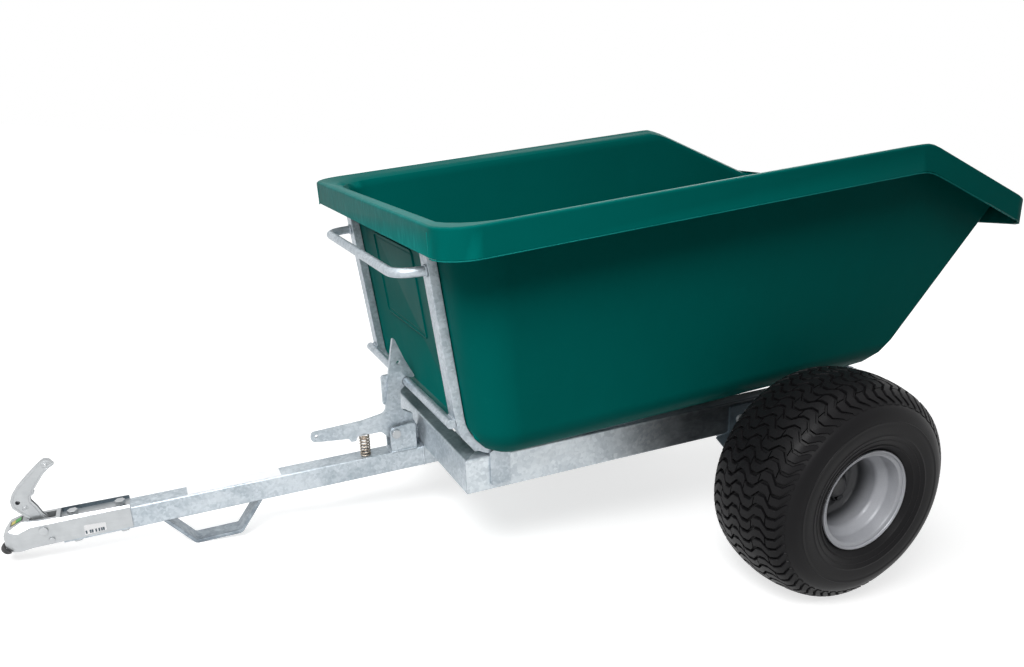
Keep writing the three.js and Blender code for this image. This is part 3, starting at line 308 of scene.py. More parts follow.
def indicator_plastic():
    """The green half of the coupling's indicator."""
    finish = Finish("indicator_plastic", "indicator_plastic", IOR=1.5)
    haze = finish.clouds(0.006, 3)
    colour = finish.blend(haze, (0.02, 0.22, 0.03), (0.05, 0.36, 0.06))
    return finish.wear(colour, haze * 0.2 + 0.3, haze, 0.0001)


def label_film():
    """A bare white stick-on label, faintly creased."""
    finish = Finish("label_film", "zinc_plated_steel", IOR=1.45)
    creases = finish.clouds(0.02, 3)
    colour = finish.blend(creases, (0.80, 0.80, 0.81), (0.88, 0.88, 0.89))
    return finish.wear(colour, creases * 0.2 + 0.35, creases, 0.00005)


def shaded_steel():
    """Steel darkened as painted shade: the coupling's channel and the axle brackets, where shade falls."""
    finish = Finish("shaded_steel", "galvanised_steel", Metallic=0.5)
    speckle = finish.clouds(0.004, 4, 0.7)
    smear = finish.clouds(0.02, 3, stretch=(0.3, 1, 1))
    mixed = speckle * 0.5 + smear * 0.5
    # Painted shade: dark colours for galvanised steel that lies in shade.
    colour = finish.blend(mixed, (0.020, 0.032, 0.042), (0.13, 0.17, 0.20))
    return finish.wear(colour, smear * 0.3 + 0.35, speckle, 0.0002)


def sooted_and_shaded_steel():
    """A hub and its nuts, darkened partly by grease and dust and partly by painted shade."""
    finish = Finish("sooted_and_shaded_steel", "galvanised_steel", Metallic=0.3)
    speckle = finish.clouds(0.004, 4, 0.7)
    smear = finish.clouds(0.02, 3)
    mixed = speckle * 0.5 + smear * 0.5
    # Painted shade with grease: these dark colours stand partly for the shade round the hubs.
    colour = finish.blend(mixed, (0.008, 0.009, 0.010), (0.045, 0.048, 0.052))
    return finish.wear(colour, smear * 0.2 + 0.40, speckle, 0.0002)


def indicator_yellow():
    """The yellow half of the coupling's indicator."""
    finish = Finish("indicator_yellow", "indicator_plastic", IOR=1.5)
    haze = finish.clouds(0.004, 3)
    colour = finish.blend(haze, (0.42, 0.33, 0.05), (0.62, 0.52, 0.16))
    return finish.wear(colour, haze * 0.2 + 0.3, haze, 0.0001)


GALVANISED = zinc_spangle("galvanised_tube", (0.31, 0.36, 0.40), (0.57, 0.62, 0.66), 0.006)
# A darker copy of the galvanising: painted shade for the foot, the rear member and the axle beam.
GALVANISED_IN_SHADE = zinc_spangle("galvanised_in_shade", (0.15, 0.18, 0.21), (0.37, 0.42, 0.46), 0.008,
                         wash=0.25)
# Painted shade with spray: the rails darken towards the wheels, where the tub and tyres shade them.
SPRAYED_AND_SHADED = zinc_spangle("galvanised_sprayed_and_shaded", (0.43, 0.48, 0.52), (0.72, 0.77, 0.80), 0.008,
                       spray_and_shade=0.85)
GREEN = green_polyethylene()
FLASH_AND_HIGHLIGHT = moulding_flash_and_highlight()
RUBBER = tyre_rubber()
SILVER = silver_enamel()
ZINC = bright_zinc()
BLACK = black_moulding()
SPRING = spring_wire()
INDICATOR = indicator_plastic()
LABEL = label_film()
SHADED = shaded_steel()
SOOTED_AND_SHADED = sooted_and_shaded_steel()
YELLOW = indicator_yellow()
finish_of_slot = {
    finish.slot: finish
    for finish in (GALVANISED, GREEN, RUBBER, SILVER, ZINC, BLACK, SPRING, INDICATOR)
}

# ---------------------------------------------------------------- mesh tools


def piece(name, mesh, finish, body, stands_for=()):
    """A new piece of the trailer that rides on a CAD body."""
    made = bpy.data.objects.new(name, mesh)
    bpy.context.scene.collection.objects.link(made)
    mesh.materials.clear()
    mesh.materials.append(finish.material)
    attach(made, body)
    if stands_for:
        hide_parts(*stands_for)
    return made


def eased(made, width, segments=2, angle=32):
    """Small rounded edges, and flat faces that still shade flat."""
    bevel = made.modifiers.new("eased_edges", "BEVEL")
    bevel.width = width
    bevel.segments = segments
    bevel.limit_method = "ANGLE"
    bevel.angle_limit = math.radians(angle)
    made.data.shade_smooth()
    flats = made.modifiers.new("flat_faces", "WEIGHTED_NORMAL")
    flats.mode = "FACE_AREA"
    flats.weight = 100
    flats.keep_sharp = True
    return made


def cleaned(node):
    """A CAD node's mesh with its flat faces made whole again."""
    source = bmesh.new()
    source.from_mesh(frame["nodes"][node].data)
    bmesh.ops.remove_doubles(source, verts=source.verts, dist=0.002 * MM)
    bmesh.ops.dissolve_limit(
        source, angle_limit=math.radians(0.6), verts=source.verts, edges=source.edges)
    mesh = bpy.data.meshes.new(node + "_finished")
    source.to_mesh(mesh)
    source.free()
    return mesh


slot_of_node = {sub["node"]: sub["material_slot"] for sub in frame["record"]["subparts"]}
body_of_node = {
    node: body
    for body, nodes in frame["record"]["behaviour"]["bodies"].items()
    for node in nodes
}


def dressed(node, width, finish=None, segments=2, angle=32):
    """A node's own shape with eased edges, standing for the plain one."""
    finish = finish or finish_of_slot[slot_of_node[node]]
    made = piece(node + "_finished", cleaned(node), finish, body_of_node[node], (node,))
    return eased(made, width, segments, angle)


class Solid:
    """Closed forms gathered into one mesh, drawn in millimetres in a frame of their own."""

    def __init__(self, frame_of):
        self.frame_of = frame_of
        self.verts = []
        self.faces = []

    def point(self, at):
        """Adds a point and returns its number."""
        self.verts.append(self.frame_of @ (Vector(at) * MM))
        return len(self.verts) - 1

    def loft(self, rings, joined=False):
        """Skins rings of as many points each, with capped ends, or joined into a closed loop."""
        rows = [[self.point(at) for at in ring] for ring in rings]
        count = len(rows[0])
        pairs = list(zip(rows, rows[1:])) + ([(rows[-1], rows[0])] if joined else [])
        for low, high in pairs:
            for i in range(count):
                j = (i + 1) % count
                self.faces.append((low[i], low[j], high[j], high[i]))
        if not joined:
            self.faces.append(tuple(reversed(rows[0])))
            self.faces.append(tuple(rows[-1]))
        return self

    def slab(self, along, half, heights):
        """A block between two places along X and two heights, half of its width each side."""
        front, back = along
        return self.loft([
            [(front, -half, z), (back, -half, z), (back, half, z), (front, half, z)]
            for z in heights
        ])

    def turned(self, section, sides, centre=(0, 0)):
        """A ring or disc about an axis along Y, from [radius, along] pairs round its section."""
        rings = []
        for i in range(sides):
            angle = 2 * math.pi * i / sides
            a, b = math.cos(angle), math.sin(angle)
            rings.append([(centre[0] + radius * a, along, centre[1] + radius * b)
                          for radius, along in section])
        return self.loft(rings, joined=True)

    def crowned_pin(self, radius, start, end, sides, crown, chamfer=0.8):
        """A round pin from one point to another, its far end chamfered and crowned."""
        start, end = Vector(start), Vector(end)
        along = (end - start).normalized()
        side, up = square_to(along)
        steps = [(start, radius), (end - along * chamfer, radius), (end, radius - chamfer),
                 (end + along * crown, radius * 0.45)]
        rings = [ring_round(place, side, up, size, sides) for place, size in steps]
        return self.loft(rings)

    def rope(self, path, radius, sides, closed=False):
        """A round bar along a path of points; radius is a number or one for each point."""
        path = [Vector(at) for at in path]
        sizes = radius if isinstance(radius, list) else [radius] * len(path)
        rings = []
        side = None
        for i, place in enumerate(path):
            before = path[i - 1] if i or closed else place
            after = path[(i + 1) % len(path)] if i + 1 < len(path) or closed else place
            along = (after - before).normalized()
            if side is None:
                side = square_to(along)[0]
            side = (side - along * side.dot(along)).normalized()
            rings.append(ring_round(place, side, along.cross(side), sizes[i], sides))
        return self.loft(rings, joined=closed)

    def plate(self, outline, low, high, chamfer):
        """An outline in X and Z given thickness across Y, its outer edge chamfered."""
        step = math.copysign(chamfer, high - low)
        return self.loft([
            [(x, low, z) for x, z in outline],
            [(x, high - step, z) for x, z in outline],
            [(x, high, z) for x, z in shrunk(outline, chamfer)],
        ])

    def pierced(self, loops, low, high):
        """A flat plate across Y: the first loop is its outline in X and Z, the rest its holes."""
        levels = [[[self.point((x, y, z)) for x, z in loop] for loop in loops]
                  for y in (low, high)]
        flat = [[Vector((x, z, 0)) for x, z in loop] for loop in loops]
        for level in levels:
            every = [at for ring in level for at in ring]
            self.faces += [
                tuple(every[i] for i in corner) for corner in tessellate_polygon(flat)]
        for near, far in zip(*levels):
            for i in range(len(near)):
                j = (i + 1) % len(near)
                self.faces.append((near[i], near[j], far[j], far[i]))
        return self

    def ribbon(self, path, inner, low, high):
        """A strip across Y between two lines in X and Z."""
        return self.loft([
            [(a[0], low, a[1]), (a[0], high, a[1]), (b[0], high, b[1]), (b[0], low, b[1])]
            for a, b in zip(path, inner)
        ])

    def mesh(self, name):
        """The gathered forms as one mesh, its faces turned outwards."""
        mesh = bpy.data.meshes.new(name)
        mesh.from_pydata([tuple(at) for at in self.verts], [], self.faces)
        work = bmesh.new()
        work.from_mesh(mesh)
        bmesh.ops.recalc_face_normals(work, faces=work.faces)
        work.to_mesh(mesh)
        work.free()
        return mesh

    def piece(self, name, finish, body, stands_for=(), ease=0.0, smooth=30):
        """The forms as a piece, with eased edges or smooth up to an angle in degrees."""
        made = piece(name, self.mesh(name), finish, body, stands_for)
        if ease:
            return eased(made, ease * MM)
        made.data.shade_smooth()
        made.data.set_sharp_from_angle(angle=math.radians(smooth))
        return made


def square_to(along):
    """Two directions square to this one and to each other."""
    guide = Vector((0, 0, 1)) if abs(along.z) < 0.8 else Vector((1, 0, 0))
    side = along.cross(guide).normalized()
    return side, along.cross(side)


def ring_round(place, side, up, radius, sides):
    """A circle of points round a place, in the plane of two directions."""
    steps = [2 * math.pi * i / sides for i in range(sides)]
    return [place + side * (radius * math.cos(a)) + up * (radius * math.sin(a)) for a in steps]


def shrunk(outline, by):
    """A closed outline moved inwards by a small amount."""
    area = sum(a[0] * b[1] - b[0] * a[1] for a, b in zip(outline, outline[1:] + outline[:1]))
    turn = math.copysign(by, area)
    moved = []
    for i, here in enumerate(outline):
        before = Vector(outline[i - 1])
        after = Vector(outline[(i + 1) % len(outline)])
        here = Vector(here)
        normals = []
        for start, end in ((before, here), (here, after)):
            run = (end - start).normalized()
            normals.append(Vector((-run.y, run.x)))
        bisect = (normals[0] + normals[1]).normalized()
        reach = turn / max(bisect.dot(normals[0]), 0.5)
        moved.append(tuple(here + bisect * reach))
    return moved


def rounded(corners, steps=5):
    """A closed outline from [a, b, radius] corners, its corners drawn as arcs."""
    outline = []
    for i, (a, b, radius) in enumerate(corners):
        here = Vector((a, b))
        back = (Vector(corners[i - 1][:2]) - here).normalized()
        on = (Vector(corners[(i + 1) % len(corners)][:2]) - here).normalized()
        half = back.angle(on) / 2
        run = radius / math.tan(half)
        centre = here + (back + on).normalized() * (radius / math.sin(half))
        start = here + back * run - centre
        end = here + on * run - centre
        sweep = start.angle_signed(end) if radius else 0
        for k in range(steps + 1) if radius else [0]:
            turn = -sweep * k / steps
            spoke = Vector((
                start.x * math.cos(turn) - start.y * math.sin(turn),
                start.x * math.sin(turn) + start.y * math.cos(turn),
            ))
            outline.append(tuple(centre + spoke) if radius else (a, b))
    return outline


def hexagon(across_flats, a, b, turn):
    """The outline of a nut or bolt head round (a, b), turned by an angle."""
    radius = across_flats / math.sqrt(3)
    steps = [turn + math.pi / 3 * i for i in range(6)]
    return [(a + radius * math.cos(t), b + radius * math.sin(t)) for t in steps]


def weld(solid, path, radius, seed):
    """A lumpy bead laid along a path."""
    path = [Vector(at) for at in path]
    lengths = [(b - a).length for a, b in zip(path, path[1:])]
    count = max(int(sum(lengths) / 2.2), 4)
    dice = random.Random(seed)
    points = []
    sizes = []
    for i in range(count + 1):
        far = sum(lengths) * i / count
        k = 0
        while k < len(lengths) - 1 and far > lengths[k]:
            far -= lengths[k]
            k += 1
        place = path[k].lerp(path[k + 1], far / lengths[k])
        wobble = Vector([dice.uniform(-0.35, 0.35) for _ in range(3)])
        taper = min(1.0, 0.45 + 0.25 * min(i, count - i))
        points.append(place + wobble)
        ripple = 0.92 + 0.16 * math.sin(i * 1.9)
        sizes.append(radius * taper * ripple * dice.uniform(0.93, 1.07))
    solid.rope(points, sizes, 8)


def roll_edges(made, frame_of, width, wanted):
    """Rounds a piece's convex edges where wanted(edge, its middle in a frame) says so."""
    work = bmesh.new()
    work.from_mesh(made.data)
    inverse = frame_of.inverted()
    chosen = []
    for edge in work.edges:
        if len(edge.link_faces) == 2 and edge.is_convex:
            middle = inverse @ ((edge.verts[0].co + edge.verts[1].co) / 2) / MM
            if wanted(edge, middle):
                chosen.append(edge)
    bmesh.ops.bevel(work, geom=chosen, offset=width * MM, segments=4, profile=0.5,
                    affect="EDGES", clamp_overlap=True)
    work.to_mesh(made.data)
    work.free()


# ---------------------------------------------------------------- wheels

TREAD_BARS = 60
TREAD_DEPTH = 7.0
TREAD_HALF = 117.0  # from the crown's middle to a bar's end, measured over the crown
TREAD_SHOULDER = 94  # where the tread begins to run out
TREAD_RUN_OUT = 0.6  # its depth at the end
BAR_TAPER = 96  # where a bar begins to narrow
CUT_SPACING = 62  # between the cuts across a bar
BAR_SHARE = 0.70  # of a bar and its groove, the part that is bar
ZIGZAG_RUN = 60.0
ZIGZAG_RISE = 9.5
ZIGZAG_SLOPE = 2.0
WHEEL_STUDS = 4
STUD_CIRCLE = 50.0
NUT_FLATS = 19
SIDEWALL_STEP = 183  # the radius of the moulded step round the sidewall


def curved(points, steps):
    """A smooth line through points, as a Catmull-Rom curve."""
    points = [Vector(at) for at in points]
    line = []
    for i in range(len(points) - 1):
        a = points[max(i - 1, 0)]
        b, c = points[i], points[i + 1]
        d = points[min(i + 2, len(points) - 1)]
        for k in range(steps):
            t = k / steps
            line.append(0.5 * (2 * b + (c - a) * t + (2 * a - 5 * b + 4 * c - d) * t * t
                               + (3 * b - a - 3 * c + d) * t ** 3))
    return line + [points[-1]]


class Crown:
    """The tyre's outer line from the middle of the tread to the bead, as [radius, across]."""

    def __init__(self, radius, half_width):
        shoulder = half_width - 32
        self.line = curved([
            (radius, 0),
            (radius - 1.2, 22),
            (radius - 5.2, shoulder * 0.55),
            (radius - 11.5, shoulder * 0.82),
            (radius - 20, shoulder + 1),
            (radius - 36, half_width - 18.5),
            (198, half_width - 5.5),
            (176, half_width - 0.6),
            (156, half_width - 1.6),
        ], 6)
        self.reach = [0.0]
        for a, b in zip(self.line, self.line[1:]):
            self.reach.append(self.reach[-1] + (b - a).length)

    def at(self, run, sunk=0.0):
        """The point this far from the middle over the crown, sunk below it."""
        far = min(abs(run), self.reach[-1] - 0.01)
        k = max(i for i, reach in enumerate(self.reach) if reach <= far)
        a, b = self.line[k], self.line[k + 1]
        place = a.lerp(b, (far - self.reach[k]) / (self.reach[k + 1] - self.reach[k]))
        normal = Vector((-(b - a).y, (b - a).x)).normalized()
        place = place + normal * sunk
        return place.x, math.copysign(place.y, run)


def tread_depth(run):
    """Full depth over the tread, running out down the shoulder."""
    fade = (abs(run) - TREAD_SHOULDER) / (TREAD_HALF + 4 - TREAD_SHOULDER)
    fade = min(max(fade, 0), 1)
    return TREAD_DEPTH * (1 - fade) + TREAD_RUN_OUT * fade


def zigzag(run):
    """How far a bar is pushed round the tyre: flats joined by slopes."""
    phase = (run / ZIGZAG_RUN) % 1.0
    slope = 1 - 4 * abs(phase - 0.5)
    return ZIGZAG_RISE * min(max(slope * ZIGZAG_SLOPE, -1), 1)


def bar_stations(low, high):
    """Where a bar's cross-sections are drawn: its ends, the zigzag's corners, and between."""
    corner = ZIGZAG_RUN * (1 - 1 / ZIGZAG_SLOPE) / 4
    corners = [k * ZIGZAG_RUN / 2 + aside for k in range(-5, 6) for aside in (-corner, corner)]
    stops = sorted([low, high] + [at for at in corners if low + 2 < at < high - 2])
    stations = []
    for a, b in zip(stops, stops[1:]):
        count = max(round((b - a) / 9), 1)
        stations += [a + (b - a) * i / count for i in range(count)]
    return stations + [high]


def tread_bar(solid, crown, number, radius):
    """One zigzag bar across the tread, cut into blocks; every second bar is cut elsewhere."""
    pitch = 2 * math.pi * radius / TREAD_BARS
    turn = number * pitch
    first_cut = -78 if number % 2 else -108
    cuts = [first_cut + CUT_SPACING * k for k in range(4)]
    stops = [-TREAD_HALF] + [cut for cut in cuts if abs(cut) < 100] + [TREAD_HALF]
    half_gap = 1.1
    for low, high in zip(stops, stops[1:]):
        low = low + half_gap if low > -TREAD_HALF else low
        high = high - half_gap if high < TREAD_HALF else high
        rings = []
        for run in bar_stations(low, high):
            deep = tread_depth(run)
            narrow = 1 - 0.22 * max(abs(run) - BAR_TAPER, 0) / (TREAD_HALF - BAR_TAPER)
            half = pitch * BAR_SHARE / 2 * narrow
            edge = min(1.0, deep * 0.5)
            profile = [
                (-half - 1.0, deep + 0.8),
                (-half, edge),
                (-half + edge * 0.8, 0),
                (half - edge * 0.8, 0),
                (half, edge),
                (half + 1.0, deep + 0.8),
            ]
            ring = []
            for aside, sunk in profile:
                reach, across = crown.at(run, sunk)
                angle = (turn + zigzag(run) + aside) / radius
                ring.append((reach * math.cos(angle), across, reach * math.sin(angle)))
            rings.append(ring)
        solid.loft(rings)


def tyre_carcass(solid, crown):
    """The tyre under its tread: sidewalls with raised rings, beads and an inner skin."""
    outer = []
    last = crown.reach[-1]
    steps = 46
    for i in range(steps + 1):
        run = last * i / steps
        outer.append(crown.at(run, tread_depth(run) if run < TREAD_HALF + 4 else 0.0))
        if abs(outer[-1][0] - SIDEWALL_STEP) < 2.2:
            step = (crown.at(run + 0.7), crown.at(run + 2.0))
            outer += [(reach, across + 0.9) for reach, across in step]
    ribs = []
    for reach, across, proud in ((151, 117.9, 1.0), (140, 114.9, 1.0), (127, 110.9, 2.0)):
        ribs += [
            (reach + 2.4, across + 0.2),
            (reach + 0.9, across + proud),
            (reach - 0.9, across + proud - 0.3),
            (reach - 2.4, across - 0.6),
        ]
    heel = [(119, 104.5), (116, 100.5), (111, 98.6), (103.5, 96.2), (102.2, 92), (102, 80)]
    inside = [(116, 86), (145, 107), (190, 109), (222, 80), (240, 30), (242, 0)]
    half = outer + ribs + heel + inside[:-1]
    mirrored = [(reach, -across) for reach, across in reversed(half[1:])]
    solid.turned(half + [inside[-1]] + mirrored, 132)


def tyre(side, centre, radius, half_width):
    """One tyre: its carcass and the bars of its tread."""
    solid = Solid(Matrix.Translation(centre))
    crown = Crown(radius, half_width)
    tyre_carcass(solid, crown)
    for number in range(TREAD_BARS):
        tread_bar(solid, crown, number, radius)
    name = "tyre_" + side
    solid.piece(name + "_treaded", RUBBER, "wheel_" + side, (name,), smooth=35)


def rim(side, centre, outboard):
    """The pressed wheel: two flanges, two bead seats, the well and the dished disc."""
    solid = Solid(Matrix.Translation(centre) @ Matrix.Diagonal((1, outboard, 1, 1)))
    outside = [
        (110.4, -106), (112.6, -105.2), (113.5, -103), (112.9, -100), (108, -97.6),
        (103.4, -97.2), (101.5, -95), (101.3, -70), (100.6, -47), (98, -43.5), (88, -32),
        (85, -29.5), (84, -26), (84, 50), (85.2, 54), (88, 57), (98, 66), (100.6, 69.5),
        (101.5, 74), (101.5, 94), (103.4, 97.2), (108, 97.6), (112.9, 100), (113.5, 103),
        (112.6, 105.2), (110.4, 106),
    ]
    inside = [
        (108.6, 104.6), (109.6, 102.6), (108.8, 101), (103.5, 100.8), (100.2, 99.2),
        (98.6, 95.5), (98.3, 76), (97.2, 72.4), (94.6, 69), (85.6, 60.6), (82.2, 56.4),
        (81, 51), (81, 22), (80.4, 13), (78.6, 8.6), (75, 6.2), (70.5, 4), (66.4, 0.2),
        (63.6, -4.2), (60, -6), (40, -6), (38, -6.8), (34, -6.8), (34, -10), (60, -10),
        (64.6, -9), (68.5, -4.6), (73, 0.6), (78.6, 2.4), (81, -6), (81, -26), (82, -30),
        (95.4, -45.4), (97.4, -49), (98.3, -95.5), (100.2, -99.2), (103.5, -100.8),
        (108.8, -101), (109.6, -102.6), (108.6, -104.6),
    ]
    solid.turned(outside + inside, 128)
    name = "wheel_rim_" + side
    solid.piece(name + "_pressed", SILVER, "wheel_" + side, (name,), smooth=40)


def wheel_nuts(side, centre, outboard):
    """Four cone-seated nuts with the stud ends showing."""
    solid = Solid(Matrix.Translation(centre) @ Matrix.Diagonal((1, outboard, 1, 1)))
    for i in range(WHEEL_STUDS):
        angle = 2 * math.pi * (i + 0.5) / WHEEL_STUDS - LEAN
        a = STUD_CIRCLE * math.cos(angle)
        b = STUD_CIRCLE * math.sin(angle)
        solid.turned([(6.3, -5.6), (13, -5.6), (12.2, -3.4), (10.4, -2), (6.3, -2)], 24, (a, b))
        solid.plate(hexagon(NUT_FLATS, a, b, angle), -2.2, 9.5, 1.2)
        solid.crowned_pin(5.9, (a, 4, b), (a, 16.4, b), 16, 0.6)
    solid.piece("wheel_nuts_" + side, SOOTED_AND_SHADED, "wheel_" + side, smooth=25)


for side, outboard in (("left", -1), ("right", 1)):
    low, high = (Vector(corner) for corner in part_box("tyre_" + side))
    middle = (low + high) / 2
    tyre(side, middle, (high.z - low.z) / 2 / MM, (high.y - low.y) / 2 / MM)
    rim(side, middle, outboard)
    wheel_nuts(side, middle, outboard)

# ---------------------------------------------------------------- the CAD pieces, dressed

made_anew = {
    "tyre_left", "tyre_right", "wheel_rim_left", "wheel_rim_right", "latch_spring",
    "cradle_push_handle", "coupling_body", "coupling_handle", "coupling_bumper",
}
SHARP_EDGE = 0.6
rounded_edges = {
    "tub": 1.6, "drawbar": 3.2, "chassis_front_member": 3.2, "chassis_rear_member": 3.2,
    "chassis_rail_left": 3.2, "chassis_rail_right": 3.2, "axle_beam": 3.2,
    "cradle_bar_left": 1.2, "cradle_bar_right": 1.2, "latch_lever": 1.0, "latch_bracket": 1.0,
    "drawbar_foot": 1.2,
}
# The darker finishes below stand partly for shade: painted shade on the low parts, hubs, nuts, brackets and rails.
own_finish = {
    "chassis_rail_left": SPRAYED_AND_SHADED, "chassis_rail_right": SPRAYED_AND_SHADED, "drawbar_foot": GALVANISED_IN_SHADE,
    "chassis_rear_member": GALVANISED_IN_SHADE, "axle_beam": GALVANISED_IN_SHADE, "axle_bracket_left": SHADED,
    "axle_bracket_right": SHADED, "hub_left": SOOTED_AND_SHADED, "hub_right": SOOTED_AND_SHADED,
    "hub_cap_left": BLACK, "hub_cap_right": BLACK,
}
for node in frame["nodes"]:
    if node not in made_anew:
        dressed(node, rounded_edges.get(node, SHARP_EDGE) * MM, own_finish.get(node),
                segments=3 if node in rounded_edges else 2)

# ---------------------------------------------------------------- latch


def coil(middle, radius, bottom, top, turns, wire):
    """A compression spring with closed ends, standing on the drawbar."""
    points = []
    steps = int(turns * 20)
    for i in range(steps + 1):
        t = i / steps
        angle = 2 * math.pi * turns * t
        pitch = min(max((t - 0.10) / 0.80, 0), 1)
        rise = 0.12 * t + 0.88 * pitch
        points.append((
            middle[0] + radius * math.cos(angle),
            middle[1] + radius * math.sin(angle),
            bottom + wire + (top - bottom - 2 * wire) * rise,
        ))
    return Solid(CHASSIS).rope(points, wire, 12)


SPRING_FOOT = (-900, -5, 33.4)
SPRING_TOP = 85.6
spring = coil(SPRING_FOOT, 11, SPRING_FOOT[2], SPRING_TOP, 8, 1.9)
spring = spring.piece("latch_spring_coiled", SPRING, "chassis", ("latch_spring",), smooth=60)
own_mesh(spring)

# ---------------------------------------------------------------- tub

# The tub's frame: its origin on the tipping axis, its X along the tub's floor.
TIPPING_AXIS = Vector((300, 0, 128))
TUB_TILT = math.radians(1.96)
TUB = CHASSIS @ Matrix.Translation(TIPPING_AXIS * MM) @ Matrix.Rotation(-TUB_TILT, 4, "Y")

FLOOR_FRONT = -1043
FLOOR_HEIGHT = 25
FRONT_WALL_LEAN = 0.089
PANEL_HALF = 141
PANEL_LOW = 250
PANEL_HIGH = 447
RIM_LOWEST = 330
RIM_ROLL = 7


def front_wall(z):
    """Where the outside of the front wall is along X, at a height."""
    return FLOOR_FRONT - (z - FLOOR_HEIGHT) * FRONT_WALL_LEAN


def moulded_frame():
    """The raised border of the empty panel moulded into the front wall: two lines."""
    solid = Solid(TUB)
    for inset, corner, proud, thick, sides in ((0, 10, 0.6, 3.4, 8), (9, 6, 0.9, 1.6, 6)):
        half, low, high = PANEL_HALF - inset, PANEL_LOW + inset, PANEL_HIGH - inset
        corners = [(-half, low), (half, low), (half, high), (-half, high)]
        line = rounded([(y, z, corner) for y, z in corners])
        solid.rope([(front_wall(z) + proud, y, z) for y, z in line], thick, sides, closed=True)
    solid.piece("tub_panel_border", GREEN, "tub", smooth=60)


def on_rim_top(edge, middle):
    """Whether an edge of the tub lies between the rim's flat top and an upright face."""
    rise = sorted(face.normal.z for face in edge.link_faces)
    return middle.z > RIM_LOWEST and rise[1] > 0.6 and abs(rise[0]) < 0.45


moulded_frame()
roll_edges(bpy.data.objects["tub_finished"], TUB, RIM_ROLL, on_rim_top)

RIM_FRONT = -1142
RIM_SIDE = 510
RIM_CORNER = 74
RIM_FRONT_HEIGHT = 545
RIM_PEAK = (-48, 577)
RIM_REAR = (291, 411)
SKIRT_DEPTH = 56


def rim_height(x):
    """The rim climbs to its peak and falls to the pouring lip."""
    start = (RIM_FRONT, RIM_FRONT_HEIGHT) if x < RIM_PEAK[0] else RIM_REAR
    share = (x - start[0]) / (RIM_PEAK[0] - start[0])
    soft = 4 * math.exp(-abs(x - RIM_PEAK[0]) / 12)
    return start[1] + (RIM_PEAK[1] - start[1]) * share - soft


def mould_and_highlight_lines():
    """The paler lines along the skirt's lower edge and at the front face's ends: mould lines with a painted
    highlight.
    """
    solid = Solid(TUB)
    # Along the side, the stations stand closer together where the rim turns at its peak.
    stations = (-900, -600, -300, -120, -80, -60, -48, -36, -16, 40, 120, 200, 236)
    for side in (-1, 1):
        spine = [(RIM_FRONT, side * (RIM_SIDE - RIM_CORNER))]
        for i in range(1, 9):
            angle = math.pi / 2 * i / 8
            spine.append((RIM_FRONT + RIM_CORNER * (1 - math.cos(angle)),
                          side * (RIM_SIDE - RIM_CORNER * (1 - math.sin(angle)))))
        spine += [(x, side * RIM_SIDE) for x in stations]
        edge = [(x, y - side * 0.6, rim_height(x) - SKIRT_DEPTH + 0.8) for x, y in spine]
        solid.rope(edge, 1.2, 6)
        y = side * (RIM_SIDE - RIM_CORNER - 2)
        heights = (RIM_FRONT_HEIGHT - SKIRT_DEPTH + 3, RIM_FRONT_HEIGHT - 9)
        solid.rope([(RIM_FRONT - 0.1, y, z) for z in heights], 0.9, 6)
    solid.piece("tub_mould_and_highlight_lines", FLASH_AND_HIGHLIGHT, "tub", smooth=60)


mould_and_highlight_lines()


def bent(points, radius, steps=8):
    """A line through points with its corners rounded to a radius."""
    points = [Vector(at) for at in points]
    line = [points[0]]
    for before, here, after in zip(points, points[1:], points[2:]):
        back = (before - here).normalized()
        on = (after - here).normalized()
        half = back.angle(on) / 2
        centre = here + (back + on).normalized() * (radius / math.sin(half))
        start = here + back * (radius / math.tan(half)) - centre
        end = here + on * (radius / math.tan(half)) - centre
        line += [centre + start.slerp(end, i / steps) * radius for i in range(steps + 1)]
    return line + [points[-1]]


HANDLE_HEIGHT = 436
HANDLE_ROOT = front_wall(HANDLE_HEIGHT) - 22.4
HANDLE_TIP = HANDLE_ROOT - 61.6
HANDLE_CORNER = 280
HANDLE_END = 291
HANDLE_BEND = 46
HANDLE_RADIUS = 10
UPRIGHT_SIDES = (266, 304)
LATCH_BAR = (front_wall(112) - 32.3, 112)


def cradle_handle():
    """The round push bar bent forwards across the uprights, welded to both."""
    ends = ((HANDLE_ROOT, -HANDLE_END), (HANDLE_TIP, -HANDLE_CORNER),
            (HANDLE_TIP, HANDLE_CORNER), (HANDLE_ROOT, HANDLE_END))
    corners = [(x, y, HANDLE_HEIGHT) for x, y in ends]
    solid = Solid(TUB).rope(bent(corners, HANDLE_BEND), HANDLE_RADIUS, 28)
    solid.piece("push_handle_bent", GALVANISED, "tub", ("cradle_push_handle",), smooth=50)
    seams = Solid(TUB)
    reach = HANDLE_RADIUS + 0.6
    turns = [2 * math.pi * i / 24 for i in range(25)]
    for side in (-1, 1):
        ring = [(HANDLE_ROOT - 1.5, side * HANDLE_END + reach * math.cos(a),
                 HANDLE_HEIGHT + reach * math.sin(a)) for a in turns]
        weld(seams, ring, 2.8, side)
        for up in (-1, 1):
            x, z = LATCH_BAR
            seam = [(x + 8.5, side * y, z + up * 7) for y in UPRIGHT_SIDES]
            weld(seams, seam, 3.0, side + up)
    seams.piece("cradle_weld_beads", GALVANISED, "tub", smooth=60)


cradle_handle()

# ---------------------------------------------------------------- drawbar and chassis

DRAWBAR_TOP = 33.0
AXLE_BOLTS = (-47, 47)
AXLE_BOLT_HEIGHT = 70

# The label lies on top of the drawbar, bare.
label = Solid(CHASSIS).slab((-1311, -1105), 21, (DRAWBAR_TOP + 0.05, DRAWBAR_TOP + 0.45))
label.piece("drawbar_label", LABEL, "chassis", smooth=20)


